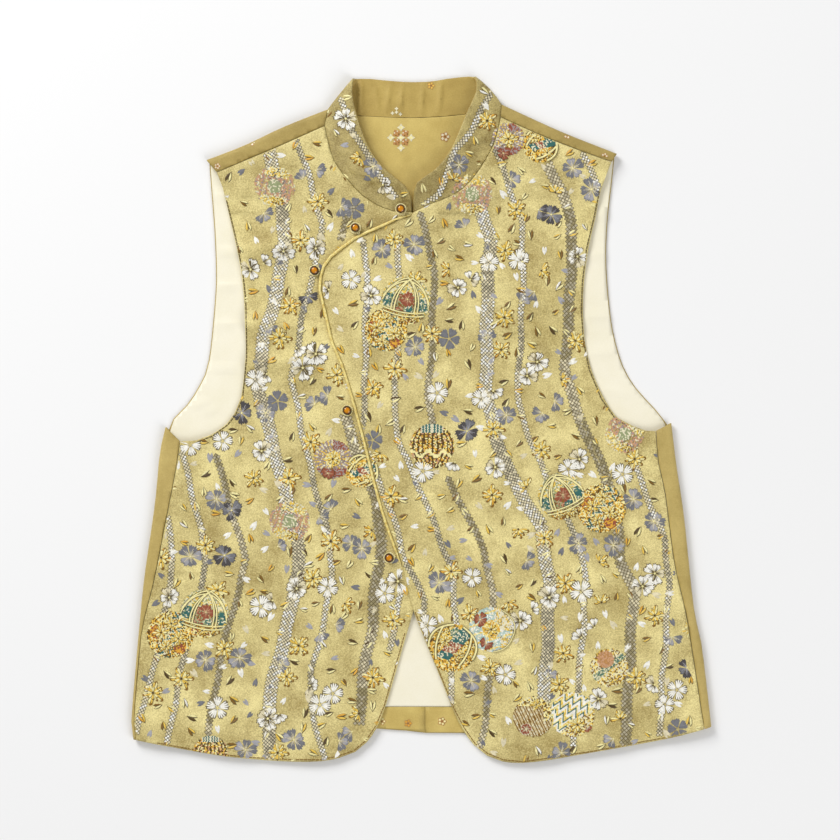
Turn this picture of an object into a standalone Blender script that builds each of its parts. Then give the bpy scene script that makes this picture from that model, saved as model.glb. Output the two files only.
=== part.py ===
"""A brocade waistcoat with a stand collar and a slanted placket, laid flat on its back.

Metres, +Z up, +Y towards the collar. The origin is on the floor under the middle of the garment, and the
wearer's right side lies at -X. Tables and named sizes are in millimetres, and MM turns them into metres.
"""
import bpy
import bmesh
from math import asin, cos, exp, hypot, pi, sin
from mathutils import Vector
from mathutils.geometry import delaunay_2d_cdt

MM = 0.001

# Cloth, from the floor up: the back, its lining, the wearer's right front, then the left front over it.
SEAM_GAP = 0.3
BACK_CLOTH = 1.2
LINING_CLOTH = 1.0
BROCADE = 1.5
COLLAR_CLOTH = 1.2
COLLAR_LINING = 1.0
FOLD_RADIUS = 4.0
FOLD_FLAT_LEAST = 0.5
LINING_FLOOR = BACK_CLOTH + SEAM_GAP
FRONT_TOP = LINING_FLOOR + LINING_CLOTH + SEAM_GAP + BROCADE
LAP_GAP = 0.4
LAP_RISE = BROCADE + LAP_GAP
LINING_INSET = 1.0
FOLD_SEAM_GAP = 0.6
TIGHT_FOLD_GAP = 2.6
SHOULDER_STATIONS = 9
SIDE_STATIONS = 18

# How far the fronts stay lifted beside the folded edges and the collar, and how the lap settles.
EDGE_REACH = 55.0
NECK_REACH = 45.0
NECK_LIFT = 3.2
LIFT_BLEND = 6
LAP_END_X = 10.0
LAP_SETTLE = 45.0

# Collar
COLLAR_SEAM_GAP = 0.35
COLLAR_FOLD_RADIUS = 6.5
COLLAR_FRONT_RISE = 19.0
COLLAR_FULL_WIDTH = 22.0
COLLAR_CURVE = 1.4
COLLAR_ROWS = (0.0, 0.2, 0.5, 0.8, 1.0)
COLLAR_FRONT_STATIONS = 15
COLLAR_BACK_STATIONS = 10
FOLD_STEPS = 4

# Trim
PIPING_RADIUS = 1.4
BEAD_RADIUS = 4.2
BEAD_HALF_HEIGHT = 3.0
LOOP_RADIUS = 5.1
LOOP_CORD_RADIUS = 0.6
TRIM_GAP = 0.4
LOOP_STEPS = 18
LOOP_END_GAP = 0.15
PIPING_TAPER = 2
PIPING_END = 0.45
COLLAR_LOW_RISE = 11.5
COLLAR_LOW_REACH = 19.0

PANEL_SPACING = 18.0
EDGE_STEP = 12.0
ROW_SHARE = 0.87
EDGE_SHARE = 0.55
SAME_PLACE = 0.5

# Shoulders: the fold is the outline, and the seam to the front lies inside it.
SHOULDER_FOLD = {
    "right": [(-93.7, 309.3), (-136.8, 292.3), (-176.9, 273.3), (-214.3, 258.9)],
    "left": [(80.4, 314.3), (138.7, 287.6), (195.2, 265.2)],
}
SHOULDER_SEAM = {
    "right": [(-96.4, 292.3), (-117.6, 282.8), (-148.3, 269.3), (-203.7, 245.9)],
    "left": [(79.3, 300.9), (129.2, 278.9), (189.5, 256.3)],
}
# Sides, from the armhole down to the hem.
SIDE_FOLD = {
    "right": [(-255.4, -7.7), (-261.0, -32.0), (-265.9, -83.3), (-276.8, -159.7), (-283.5, -228.0),
              (-289.6, -303.0), (-287.5, -319.5)],
    "left": [(249.6, -3.7), (255.3, -49.7), (262.2, -95.7), (272.1, -187.7), (279.4, -221.7),
             (285.2, -267.7), (289.6, -306.7)],
}
SIDE_SEAM = {
    "right": [(-240.3, -22.1), (-244.9, -52.7), (-253.5, -96.7), (-265.9, -159.7), (-277.6, -207.0),
              (-282.2, -250.0), (-286.2, -300.0), (-284.2, -319.8)],
    "left": [(233.5, -11.7), (236.7, -47.7), (242.7, -72.7), (251.7, -141.7), (262.2, -187.7),
             (270.2, -233.2), (277.1, -279.2), (282.0, -309.0)],
}
# Armholes, from the shoulder down to the side.
BACK_ARMHOLE = {
    "right": [(-209.5, 225.3), (-206.6, 187.3), (-205.1, 148.8), (-206.0, 120.3), (-212.3, 59.3),
              (-220.9, 35.3), (-234.3, 14.3), (-247.7, 0.5)],
    "left": [(190.4, 236.3), (186.6, 203.6), (184.7, 165.3), (186.6, 127.3), (191.4, 88.8),
             (201.0, 54.4), (214.4, 31.4), (233.5, 10.4)],
}
FRONT_ARMHOLE = {
    "right": [(-198.0, 231.1), (-192.3, 206.3), (-185.5, 177.5), (-179.8, 148.8), (-176.9, 120.3),
              (-175.6, 91.3), (-175.4, 60.3), (-179.8, 21.9), (-186.5, 5.6), (-194.3, -4.7),
              (-209.5, -15.4), (-224.8, -21.1)],
    "left": [(179.0, 228.5), (174.2, 203.6), (166.5, 169.3), (162.3, 136.7), (161.2, 108.0),
             (163.1, 79.3), (169.4, 50.6), (181.7, 21.9), (195.2, 1.8), (210.5, -6.5),
             (224.0, -11.5)],
}
# Necklines, from the shoulder to the centre front, and the back neckline from right to left.
NECKLINE = {
    "right": [(-96.4, 292.3), (-93.5, 277.9), (-87.3, 257.5), (-74.4, 239.6), (-57.8, 221.7),
              (-42.5, 212.3), (-27.3, 207.1), (-9.6, 206.3)],
    "left": [(79.3, 300.9), (77.4, 291.9), (72.3, 274.0), (59.5, 251.1), (44.2, 232.0),
             (27.6, 221.7), (8.5, 214.1), (-7.6, 206.4)],
}
BACK_NECKLINE = [(-64.3, 303.3), (-17.0, 301.1), (14.9, 301.9), (45.5, 304.7)]
# Upper edge of the collar, from the side fold to the rounded front corner, and across the back.
COLLAR_EDGE = {
    "right": [(-68.7, 318.7), (-64.8, 303.4), (-59.1, 285.5), (-51.5, 267.7), (-42.5, 254.9),
              (-29.8, 242.3), (-17.0, 232.0), (-12.0, 224.3), (-10.2, 216.3)],
    "left": [(55.1, 326.3), (45.5, 304.7), (37.7, 285.5), (28.9, 266.4), (16.1, 249.8), (2.1, 239.6),
             (-4.0, 234.5), (-6.6, 228.1), (-7.2, 216.3)],
}
COLLAR_BACK_EDGE = [(-55.3, 340.4), (-36.3, 338.5), (-14.5, 336.9), (8.5, 337.3), (27.6, 340.4)]
COLLAR_FOLD_TOP = {"right": (-68.3, 340.3), "left": (54.4, 342.0)}
COLLAR_FOLD_BULGE = {"right": 0.5, "left": 2.0}
COLLAR_TOP_FRONT_WAY = {"right": (-0.11, -0.99), "left": (0.18, -0.98)}
COLLAR_TOP_BACK_WAY = {"right": (1.0, 0.0), "left": (-1.0, 0.1)}

# Lower edges
RIGHT_FRONT_HEM = [(-263.0, -324.4), (-205.6, -334.9), (-167.4, -339.3), (-129.1, -341.8),
                   (-100.4, -341.2), (-81.3, -337.7), (-66.0, -332.0), (-54.5, -322.5),
                   (-44.0, -307.2), (-36.3, -288.0), (-25.8, -253.7), (-14.3, -213.4),
                   (-7.6, -190.7)]
HIDDEN_UNDERLAP = [(-7.6, -190.7), (-0.3, -160.7), (3.7, -120.7), (3.7, 0.0), (3.7, 119.3), (3.2, 204.0)]
LEFT_FRONT_HEM = [(242.7, -319.3), (167.4, -333.0), (129.2, -339.7), (100.5, -342.9), (81.3, -341.6),
                  (66.0, -335.9), (52.7, -325.3), (41.1, -309.1), (31.6, -289.9), (22.0, -265.1),
                  (4.7, -223.0), (-7.6, -191.4), (-15.3, -161.7)]
PLACKET = [(-20.8, -143.7), (-36.3, -100.7), (-46.8, -64.2), (-56.3, -25.7), (-68.8, 20.3),
           (-79.3, 54.3), (-88.8, 76.3), (-93.3, 95.3), (-98.3, 116.3), (-101.3, 129.3),
           (-100.3, 143.3), (-97.3, 152.7), (-90.3, 162.3), (-78.3, 171.9), (-66.3, 180.7),
           (-52.3, 187.3), (-38.3, 193.3), (-25.3, 199.3), (-10.8, 203.6)]
BACK_HEM = [(-150.0, -312.0), (-45.3, -309.1), (4.7, -313.4), (41.7, -313.5), (150.0, -311.0)]
HEM_FACING_TOP = -287.2
HEM_FACING_SEAM = 3.7
NECK_FACING_EDGE = [(-128.0, 232.0), (-70.0, 190.0), (-8.0, 178.0), (52.0, 188.0), (108.0, 230.0)]
NECK_FACING_START = 0.08
NECK_FACING_SHARE = 0.5
LINING_START_STEP = 0.01

# Broad soft folds of the fronts: a ridge from one place to another, its width and its height.
#         from x,  y,    to x,   y,   width, height
FOLDS = [(-172.0, 166.0, -128.0, 164.0, 17.0, 1.8),
         (-168.0, 94.0, -126.0, 92.0, 15.0, 1.6),
         (-166.0, 50.0, -124.0, 52.0, 14.0, 1.4),
         (60.0, 166.0, 124.0, 140.0, 18.0, 2.4),
         (76.0, 118.0, 128.0, 70.0, 16.0, 2.2),
         (172.0, 14.0, 192.0, -50.0, 16.0, 1.8),
         (-166.0, -80.0, -176.0, -230.0, 26.0, 1.6),
         (-206.0, -210.0, -216.0, -310.0, 20.0, 1.8),
         (-110.0, -200.0, -104.0, -320.0, 22.0, 1.8),
         (96.0, -150.0, 104.0, -318.0, 22.0, 2.0),
         (176.0, -190.0, 186.0, -310.0, 20.0, 1.8),
         (236.0, -200.0, 244.0, -290.0, 18.0, 1.4)]

# Bead buttons, from the neck down: the place of each.
BEADS = [(-20.4, 209.2), (-65.8, 190.8), (-106.6, 148.4), (-74.0, 8.9), (-32.1, -138.2)]
NECK_BEAD_RISE = 0.5

SIDE_SIGN = {"right": -1.0, "left": 1.0}


def smooth_path(points, step=EDGE_STEP):
    """Points along a smooth curve through the given ones, about a step apart."""
    path = [tuple(points[0])]
    for i in range(len(points) - 1):
        a = Vector(points[max(i - 1, 0)])
        b = Vector(points[i])
        c = Vector(points[i + 1])
        d = Vector(points[min(i + 2, len(points) - 1)])
        pieces = max(1, round((c - b).length / step))
        for k in range(1, pieces + 1):
            t = k / pieces
            spot = 0.5 * (2 * b + (c - a) * t + (2 * a - 5 * b + 4 * c - d) * t * t
                          + (3 * b - a - 3 * c + d) * t ** 3)
            path.append(tuple(spot))
    return path


def joined(*paths):
    """One outline from several paths, without the places where they meet twice."""
    outline = []
    for path in paths:
        for point in path:
            if not outline or hypot(point[0] - outline[-1][0], point[1] - outline[-1][1]) > SAME_PLACE:
                outline.append(tuple(point))
    if hypot(outline[0][0] - outline[-1][0], outline[0][1] - outline[-1][1]) <= SAME_PLACE:
        outline.pop()
    return outline


def at_share(path, share):
    """The point that lies at a share of a path's length."""
    lengths = [hypot(b[0] - a[0], b[1] - a[1]) for a, b in zip(path, path[1:])]
    left = share * sum(lengths)
    for (a, b), length in zip(zip(path, path[1:]), lengths):
        if left <= length:
            return Vector(a).lerp(Vector(b), left / length)
        left -= length
    return Vector(path[-1])


def distance(x, y, path):
    """How far a place is from a path."""
    nearest = 1e9
    for a, b in zip(path, path[1:]):
        run_x = b[0] - a[0]
        run_y = b[1] - a[1]
        along = ((x - a[0]) * run_x + (y - a[1]) * run_y) / (run_x * run_x + run_y * run_y)
        along = min(max(along, 0.0), 1.0)
        nearest = min(nearest, hypot(x - a[0] - along * run_x, y - a[1] - along * run_y))
    return nearest


def inside(x, y, outline):
    """Whether a place is inside a closed outline."""
    hit = False
    for a, b in zip(outline, outline[1:] + outline[:1]):
        if (a[1] > y) != (b[1] > y) and x < a[0] + (y - a[1]) * (b[0] - a[0]) / (b[1] - a[1]):
            hit = not hit
    return hit


def stations_on(points, count):
    """Evenly spaced stations on the smooth curve through some points."""
    path = smooth_path(points)
    return [tuple(at_share(path, i / count)) for i in range(count + 1)]


def fading(share):
    """1 at the start, 0 from the end on, with a soft slope between."""
    share = min(max(share, 0.0), 1.0)
    return 1.0 - share * share * (3.0 - 2.0 * share)


SEAMS = {side: [smooth_path(SHOULDER_SEAM[side]), smooth_path(SIDE_SEAM[side])] for side in SIDE_SIGN}
NECKS = {side: stations_on(NECKLINE[side], COLLAR_FRONT_STATIONS) for side in SIDE_SIGN}


def right_front_height(x, y):
    """Height of the upper face of the right front, and of the left front where it isn't lapped."""
    side = "right" if x < 0 else "left"
    edge = (2 * FOLD_RADIUS - FRONT_TOP) * fading(min(distance(x, y, s) for s in SEAMS[side]) / EDGE_REACH)
    neck = NECK_LIFT * fading(min(distance(x, y, NECKS[side]) for side in NECKS) / NECK_REACH)
    height = FRONT_TOP + (edge ** LIFT_BLEND + neck ** LIFT_BLEND) ** (1 / LIFT_BLEND)
    for from_x, from_y, to_x, to_y, width, rise in FOLDS:
        away = distance(x, y, [(from_x, from_y), (to_x, to_y)])
        height += rise * exp(-(away / width) ** 2)
    return height


def left_front_height(x, y):
    """Height of the upper face of the left front, which lies over the right one up to its hidden edge."""
    return right_front_height(x, y) + LAP_RISE * fading((x - LAP_END_X) / LAP_SETTLE)


def material(name, colour, roughness, metallic=0.0):
    made = bpy.data.materials.new(name)
    made.use_nodes = True
    shader = made.node_tree.nodes["Principled BSDF"]
    shader.inputs["Base Color"].default_value = (*colour, 1.0)
    shader.inputs["Roughness"].default_value = roughness
    shader.inputs["Metallic"].default_value = metallic
    return made


def place(name, data, finish):
    """An object for one piece, in the garment's collection."""
    piece = bpy.data.objects.new(name, data)
    piece.data.materials.append(finish)
    garment.objects.link(piece)
    return piece


def cloth_wall(name, mesh, thickness, finish):
    """A cloth sheet with a real thickness, laid on the inner side of its outer face."""
    piece = place(name, mesh, finish)
    mesh.shade_smooth()
    mesh.set_sharp_from_angle(angle=pi / 4)
    wall = piece.modifiers.new("Cloth", "SOLIDIFY")
    wall.thickness = thickness * MM
    wall.offset = -1.0
    return piece


def mesh_from(name, sheet):
    mesh = bpy.data.meshes.new(name)
    sheet.to_mesh(mesh)
    sheet.free()
    return mesh


def add_flat_area(sheet, outline, height, spacing):
    """Triangles over a closed outline. Returns the vertices of the outline, in its order."""
    places = list(outline)
    if spacing:
        row_step = spacing * ROW_SHARE
        low_x = min(p[0] for p in outline)
        high_x = max(p[0] for p in outline)
        low_y = min(p[1] for p in outline)
        rows = int((max(p[1] for p in outline) - low_y) / row_step)
        for row in range(1, rows + 1):
            y = low_y + row * row_step
            x = low_x + spacing * (0.5 if row % 2 else 1.0)
            while x < high_x:
                if inside(x, y, outline) and distance(x, y, outline + outline[:1]) > EDGE_SHARE * spacing:
                    places.append((x, y))
                x += spacing
    count = len(outline)
    rim = [(i, (i + 1) % count) for i in range(count)]
    spots, _, faces, _, _, _ = delaunay_2d_cdt([Vector(p) for p in places], rim, [], 1, 1e-4)
    verts = [sheet.verts.new((p.x * MM, p.y * MM, height(p.x, p.y) * MM)) for p in spots]
    for face in faces:
        sheet.faces.new([verts[i] for i in face])
    return verts[:count]


def front_panel(name, outline, height, finish):
    sheet = bmesh.new()
    add_flat_area(sheet, outline, height, PANEL_SPACING)
    sheet.normal_update()
    if sum(face.normal.z for face in sheet.faces) < 0:
        bmesh.ops.reverse_faces(sheet, faces=sheet.faces[:])
    return cloth_wall(name, mesh_from(name, sheet), BROCADE, finish)


def flat_piece(name, outline, floor, thickness, finish):
    """A flat cloth piece: a closed outline with a thickness."""
    curve = bpy.data.curves.new(name, "CURVE")
    curve.dimensions = "2D"
    curve.fill_mode = "BOTH"
    curve.extrude = thickness / 2 * MM
    spline = curve.splines.new("POLY")
    spline.points.add(len(outline) - 1)
    for point, (x, y) in zip(spline.points, outline):
        point.co = (x * MM, y * MM, 0.0, 1.0)
    spline.use_cyclic_u = True
    piece = place(name, curve, finish)
    piece.location.z = (floor + thickness / 2) * MM
    return piece


def fold_profile(fold, way, width):
    """Outer points of a fold from the floor, round the edge and over to the seam: place and height."""
    if width > FOLD_RADIUS + FOLD_FLAT_LEAST:
        turns = [pi * step / FOLD_STEPS for step in range(FOLD_STEPS + 1)]
        flat = [(fold + way * width, 2 * FOLD_RADIUS)]
    else:
        last = pi - asin(1 - width / FOLD_RADIUS)
        turns = [last * step / (FOLD_STEPS + 1) for step in range(FOLD_STEPS + 2)]
        flat = []
    return [(fold + way * FOLD_RADIUS * (1 - sin(turn)), FOLD_RADIUS * (1 - cos(turn)))
            for turn in turns] + flat


def side_seam_stations(side):
    """Places on the side seam, each level with its place on the fold but for the slant at the armhole."""
    folds = stations_on(SIDE_FOLD[side], SIDE_STATIONS)
    path = smooth_path(SIDE_SEAM[side], 2.0)
    slant = SIDE_FOLD[side][0][1] - SIDE_SEAM[side][0][1]
    places = []
    for i, (_, fold_y) in enumerate(folds):
        level = fold_y - slant * (1 - i / SIDE_STATIONS) ** 2
        places.append(min(path, key=lambda p: abs(p[1] - level)))
    places[-1] = path[-1]
    return places


def folded_edge(folds, seams):
    """Profiles across a folded edge of the back, each from the floor to the seam with the front."""
    profiles = []
    for fold, seam in zip(folds, seams):
        fold = Vector(fold)
        seam = Vector(seam)
        way = (seam - fold).normalized()
        width = (seam - fold).length
        tight = max(0.0, 1 - width / FOLD_RADIUS)
        profiles.append(fold_profile(fold, way, width - FOLD_SEAM_GAP - TIGHT_FOLD_GAP * tight))
    return profiles


def base_line(profiles):
    return [tuple(profile[0][0]) for profile in profiles]


def beside(path, amount):
    """A path moved to its right, which is inwards on an outline that runs with the clock from above."""
    moved = []
    for i, point in enumerate(path):
        run = (Vector(path[min(i + 1, len(path) - 1)]) - Vector(path[max(i - 1, 0)])).normalized()
        moved.append((point[0] + run.y * amount, point[1] - run.x * amount))
    return moved


def inset_chain(paths, amount):
    """Paths that meet end to end, each moved inwards, with their corners brought together again."""
    moved = [beside(path, amount) for path in paths]
    for path, one, two in zip(paths, moved, moved[1:]):
        shared = (one[-1][0] + two[0][0] - path[-1][0], one[-1][1] + two[0][1] - path[-1][1])
        one[-1] = shared
        two[0] = shared
    return moved


def stretch_of(path, start, end, steps=6):
    """The stretch of a path between two shares of its length."""
    return [tuple(at_share(path, start + (end - start) * step / steps)) for step in range(steps + 1)]


def cut(outline, axis, limit, sign):
    """The part of an outline past a straight line: axis 0 cuts along Y, axis 1 along X."""
    kept = []
    for a, b in zip(outline, outline[1:] + outline[:1]):
        from_a = (a[axis] - limit) * sign
        from_b = (b[axis] - limit) * sign
        if from_a >= 0:
            kept.append(a)
        if from_a * from_b < 0:
            kept.append(tuple(Vector(a).lerp(Vector(b), from_a / (from_a - from_b))))
    return kept


def make_back(edges, finish):
    outline = joined(back_neck, base_line(edges["shoulder", "left"]), back_arm["left"],
                     base_line(edges["side", "left"]), back_hem, base_line(edges["side", "right"])[::-1],
                     back_arm["right"][::-1], base_line(edges["shoulder", "right"])[::-1])
    sheet = bmesh.new()
    add_flat_area(sheet, outline, lambda x, y: 0.0, 0)
    for profiles in edges.values():
        grid = [[sheet.verts.new((p.x * MM, p.y * MM, z * MM)) for p, z in profile] for profile in profiles]
        for one, two in zip(grid, grid[1:]):
            for k in range(len(one) - 1):
                sheet.faces.new([one[k], one[k + 1], two[k + 1], two[k]])
    bmesh.ops.remove_doubles(sheet, verts=sheet.verts[:], dist=0.02 * MM)
    bmesh.ops.recalc_face_normals(sheet, faces=sheet.faces[:])
    floor = max(sheet.faces, key=lambda face: face.calc_area())
    floor.normal_update()
    if floor.normal.z > 0:
        bmesh.ops.reverse_faces(sheet, faces=sheet.faces[:])
    return cloth_wall("back", mesh_from("back", sheet), BACK_CLOTH, finish)


def collar_front_stations(side):
    """Seam and upper-edge points of one front half of the collar, from the shoulder to the front."""
    height = right_front_height if side == "right" else left_front_height
    fold_top = Vector(COLLAR_FOLD_TOP[side])
    start = fold_top + Vector(COLLAR_TOP_FRONT_WAY[side]) * COLLAR_FOLD_RADIUS
    edge_path = smooth_path([tuple(start)] + COLLAR_EDGE[side], 5.0)
    stations = []
    for i in range(COLLAR_FRONT_STATIONS + 1):
        share = i / COLLAR_FRONT_STATIONS
        seam = Vector(NECKS[side][i])
        edge = at_share(edge_path, share)
        low = height(seam.x, seam.y)
        rise = 2 * COLLAR_FOLD_RADIUS * (1 - share) + COLLAR_FRONT_RISE * share
        rise = low + (rise - low) * min(1.0, (edge - seam).length / COLLAR_FULL_WIDTH)
        away = (edge - seam).normalized() * COLLAR_SEAM_GAP
        stations.append([(seam.lerp(edge, v) + away * (1 - v), low + (rise - low) * v ** COLLAR_CURVE)
                         for v in COLLAR_ROWS])
    return stations


def collar_fold_stations(side):
    """The collar where it folds back at the shoulder, from the front half down to the back half."""
    fold_seam = Vector(SHOULDER_FOLD[side][0])
    fold_top = Vector(COLLAR_FOLD_TOP[side])
    strip_way = (Vector(SHOULDER_SEAM[side][0]) - fold_seam).normalized()
    outward = Vector((SIDE_SIGN[side] * 0.7, 0.7))
    away = (fold_top - fold_seam).normalized() * COLLAR_SEAM_GAP
    stations = []
    for step in range(1, FOLD_STEPS):
        turn = pi * (1 - step / FOLD_STEPS)
        top_way = COLLAR_TOP_FRONT_WAY if turn >= pi / 2 else COLLAR_TOP_BACK_WAY
        row = []
        for v in COLLAR_ROWS:
            radius = FOLD_RADIUS + (COLLAR_FOLD_RADIUS - FOLD_RADIUS) * v
            way = strip_way.lerp(Vector(top_way[side]), v).normalized()
            fold = fold_seam.lerp(fold_top, v) + outward * COLLAR_FOLD_BULGE[side] * 4 * v * (1 - v)
            row.append((fold + away * (1 - v) + way * radius * (1 - sin(turn)), radius * (1 - cos(turn))))
        stations.append(row)
    return stations


def collar_back_stations():
    """The back of the collar, flat on the floor, from the right fold to the left one."""
    corners = {side: Vector(COLLAR_FOLD_TOP[side]) + Vector(COLLAR_TOP_BACK_WAY[side]) * COLLAR_FOLD_RADIUS
               for side in SIDE_SIGN}
    edge_path = smooth_path([tuple(corners["right"])] + COLLAR_BACK_EDGE + [tuple(corners["left"])], 5.0)
    stations = []
    for i in range(COLLAR_BACK_STATIONS + 1):
        share = i / COLLAR_BACK_STATIONS
        seam = at_share(back_neck, share)
        edge = at_share(edge_path, share)
        away = (edge - seam).normalized() * COLLAR_SEAM_GAP
        stations.append([(seam.lerp(edge, v) + away * (1 - v), 0.0) for v in COLLAR_ROWS])
    return stations


def make_collar(finish, inner_finish):
    rings = (collar_front_stations("right")[::-1] + collar_fold_stations("right") + collar_back_stations()
             + collar_fold_stations("left")[::-1] + collar_front_stations("left"))
    sheet = bmesh.new()
    grid = [[sheet.verts.new((p.x * MM, p.y * MM, z * MM)) for p, z in row] for row in rings]
    for one, two in zip(grid, grid[1:]):
        for k in range(len(COLLAR_ROWS) - 1):
            sheet.faces.new([one[k], two[k], two[k + 1], one[k + 1]])
    sheet.normal_update()
    if grid[2][2].normal.z < 0:
        bmesh.ops.reverse_faces(sheet, faces=sheet.faces[:])
        sheet.normal_update()
    inner = sheet.copy()
    cloth_wall("collar_outer", mesh_from("collar_outer", sheet), COLLAR_CLOTH, finish)
    inner.normal_update()
    step = (COLLAR_CLOTH + SEAM_GAP) * MM
    moved = [vert.co - vert.normal * step for vert in inner.verts]
    for vert, spot in zip(inner.verts, moved):
        vert.co = spot
    cloth_wall("collar_facing", mesh_from("collar_facing", inner), COLLAR_LINING, inner_finish)


def tube(name, points, radius, finish, taper=0):
    """A round cord through points, in millimetres. A taper narrows that many points at each end."""
    curve = bpy.data.curves.new(name, "CURVE")
    curve.dimensions = "3D"
    curve.bevel_depth = radius * MM
    curve.bevel_resolution = 2
    curve.use_fill_caps = True
    spline = curve.splines.new("POLY")
    spline.points.add(len(points) - 1)
    last = len(points) - 1
    for i, (point, spot) in enumerate(zip(spline.points, points)):
        point.co = (spot[0] * MM, spot[1] * MM, spot[2] * MM, 1.0)
        if taper:
            point.radius = PIPING_END + (1 - PIPING_END) * min(1.0, min(i, last - i) / taper)
    return place(name, curve, finish)


def make_piping(finish):
    path = smooth_path(PLACKET, 11.0)
    points = [(x, y, right_front_height(x, y) + SEAM_GAP + PIPING_RADIUS) for x, y in path]
    tube("placket_piping", points, PIPING_RADIUS, finish, taper=PIPING_TAPER)


def make_bead(number, x, y, floor, finish):
    """A domed bead button, a flattened ball."""
    mesh = bpy.data.meshes.new(f"bead_{number}")
    ball = bmesh.new()
    bmesh.ops.create_uvsphere(ball, u_segments=14, v_segments=8, radius=1.0)
    scale = (BEAD_RADIUS * MM, BEAD_RADIUS * MM, BEAD_HALF_HEIGHT * MM)
    bmesh.ops.scale(ball, vec=scale, verts=ball.verts[:])
    ball.to_mesh(mesh)
    ball.free()
    mesh.shade_smooth()
    bead = place(f"bead_{number}", mesh, finish)
    bead.location = (x * MM, y * MM, (floor + BEAD_HALF_HEIGHT) * MM)


def under_trim(x, y):
    """Height of what a bead or a loop lies on: the right front, or the collar past the neckline."""
    height = right_front_height(x, y)
    if not inside(x, y, right_outline):
        height += COLLAR_LOW_RISE * (distance(x, y, NECKS["right"]) / COLLAR_LOW_REACH) ** COLLAR_CURVE
    return height


def make_loop(number, x, y, finish):
    """A cord loop round a bead. Its two ends lie side by side against the piping."""
    path = smooth_path(PLACKET, 2.0)
    nearest = min(path, key=lambda p: hypot(p[0] - x, p[1] - y))
    way = Vector((nearest[0] - x, nearest[1] - y))
    reach = way.length - PIPING_RADIUS - SEAM_GAP
    way.normalize()
    across = Vector((-way.y, way.x))
    half_gap = LOOP_CORD_RADIUS + LOOP_END_GAP
    opening = asin(half_gap / LOOP_RADIUS)
    bead = Vector((x, y))
    path = [bead + way * reach + across * half_gap]
    for step in range(LOOP_STEPS + 1):
        turn = opening + 2 * (pi - opening) * step / LOOP_STEPS
        path.append(bead + way * LOOP_RADIUS * cos(turn) + across * LOOP_RADIUS * sin(turn))
    path.append(bead + way * reach - across * half_gap)
    lift = TRIM_GAP + LOOP_CORD_RADIUS
    points = [(spot.x, spot.y, under_trim(spot.x, spot.y) + lift) for spot in path]
    tube(f"loop_{number}", points, LOOP_CORD_RADIUS, finish)


for old in list(bpy.data.objects):
    bpy.data.objects.remove(old)
garment = bpy.data.collections.new("waistcoat")
bpy.context.scene.collection.children.link(garment)

plain_gold = material("plain_gold_cloth", (0.50, 0.38, 0.12), 0.75)
brocade = material("gold_brocade", (0.56, 0.46, 0.19), 0.55)
cream_satin = material("cream_satin", (0.94, 0.89, 0.75), 0.4)
gold_cord = material("gold_cord", (0.75, 0.58, 0.18), 0.45)
amber_bead = material("amber_bead", (0.55, 0.20, 0.02), 0.12)

# Folded edges of the back: both shoulders and both sides.
folded = {}
seam_line = {}
for side in SIDE_SIGN:
    seam_line["shoulder", side] = stations_on(SHOULDER_SEAM[side], SHOULDER_STATIONS)
    seam_line["side", side] = side_seam_stations(side)
    folded["shoulder", side] = folded_edge(stations_on(SHOULDER_FOLD[side], SHOULDER_STATIONS),
                                           seam_line["shoulder", side])
    folded["side", side] = folded_edge(stations_on(SIDE_FOLD[side], SIDE_STATIONS), seam_line["side", side])

starts = {side: base_line(folded["shoulder", side])[0] for side in SIDE_SIGN}
back_neck = smooth_path([starts["right"]] + BACK_NECKLINE + [starts["left"]], 14.0)
back_arm = {}
for side in SIDE_SIGN:
    top = base_line(folded["shoulder", side])[-1]
    bottom = base_line(folded["side", side])[0]
    back_arm[side] = smooth_path([top] + BACK_ARMHOLE[side] + [bottom])
corner = {side: base_line(folded["side", side])[-1] for side in SIDE_SIGN}
back_hem = smooth_path([corner["right"]] + BACK_HEM + [corner["left"]], 25.0)[::-1]
make_back(folded, plain_gold)

# Inside of the back, as far as it shows: a neck facing, the lining and a hem facing in two halves. The
# paths run with the clock from above.
lining_rim = inset_chain([base_line(folded["shoulder", "left"]), back_arm["left"],
                          base_line(folded["side", "left"]), back_hem,
                          base_line(folded["side", "right"])[::-1], back_arm["right"][::-1],
                          base_line(folded["shoulder", "right"])[::-1]], LINING_INSET)
facing_edge = smooth_path([tuple(at_share(lining_rim[0], NECK_FACING_SHARE))] + NECK_FACING_EDGE[::-1]
                          + [tuple(at_share(lining_rim[-1], 1 - NECK_FACING_SHARE))], 14.0)
neck_facing = joined(back_neck[1:-1], stretch_of(lining_rim[0], NECK_FACING_START, NECK_FACING_SHARE),
                     facing_edge, stretch_of(lining_rim[-1], 1 - NECK_FACING_SHARE, 1 - NECK_FACING_START))
lining_start = NECK_FACING_SHARE + LINING_START_STEP
lined = joined(stretch_of(lining_rim[0], lining_start, 1), *lining_rim[1:-1],
               stretch_of(lining_rim[-1], 0, 1 - lining_start), beside(facing_edge[::-1], SEAM_GAP))
hem_band = cut(lined, 1, HEM_FACING_TOP, -1)
flat_piece("back_neck_facing", neck_facing, LINING_FLOOR, LINING_CLOTH, plain_gold)
lining = cut(lined, 1, HEM_FACING_TOP + SEAM_GAP, 1)
flat_piece("back_lining", lining, LINING_FLOOR, LINING_CLOTH, cream_satin)
for side, sign in SIDE_SIGN.items():
    half = cut(hem_band, 0, HEM_FACING_SEAM + sign * SEAM_GAP / 2, sign)
    flat_piece(f"back_hem_facing_{side}", half, LINING_FLOOR, LINING_CLOTH, plain_gold)

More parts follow.
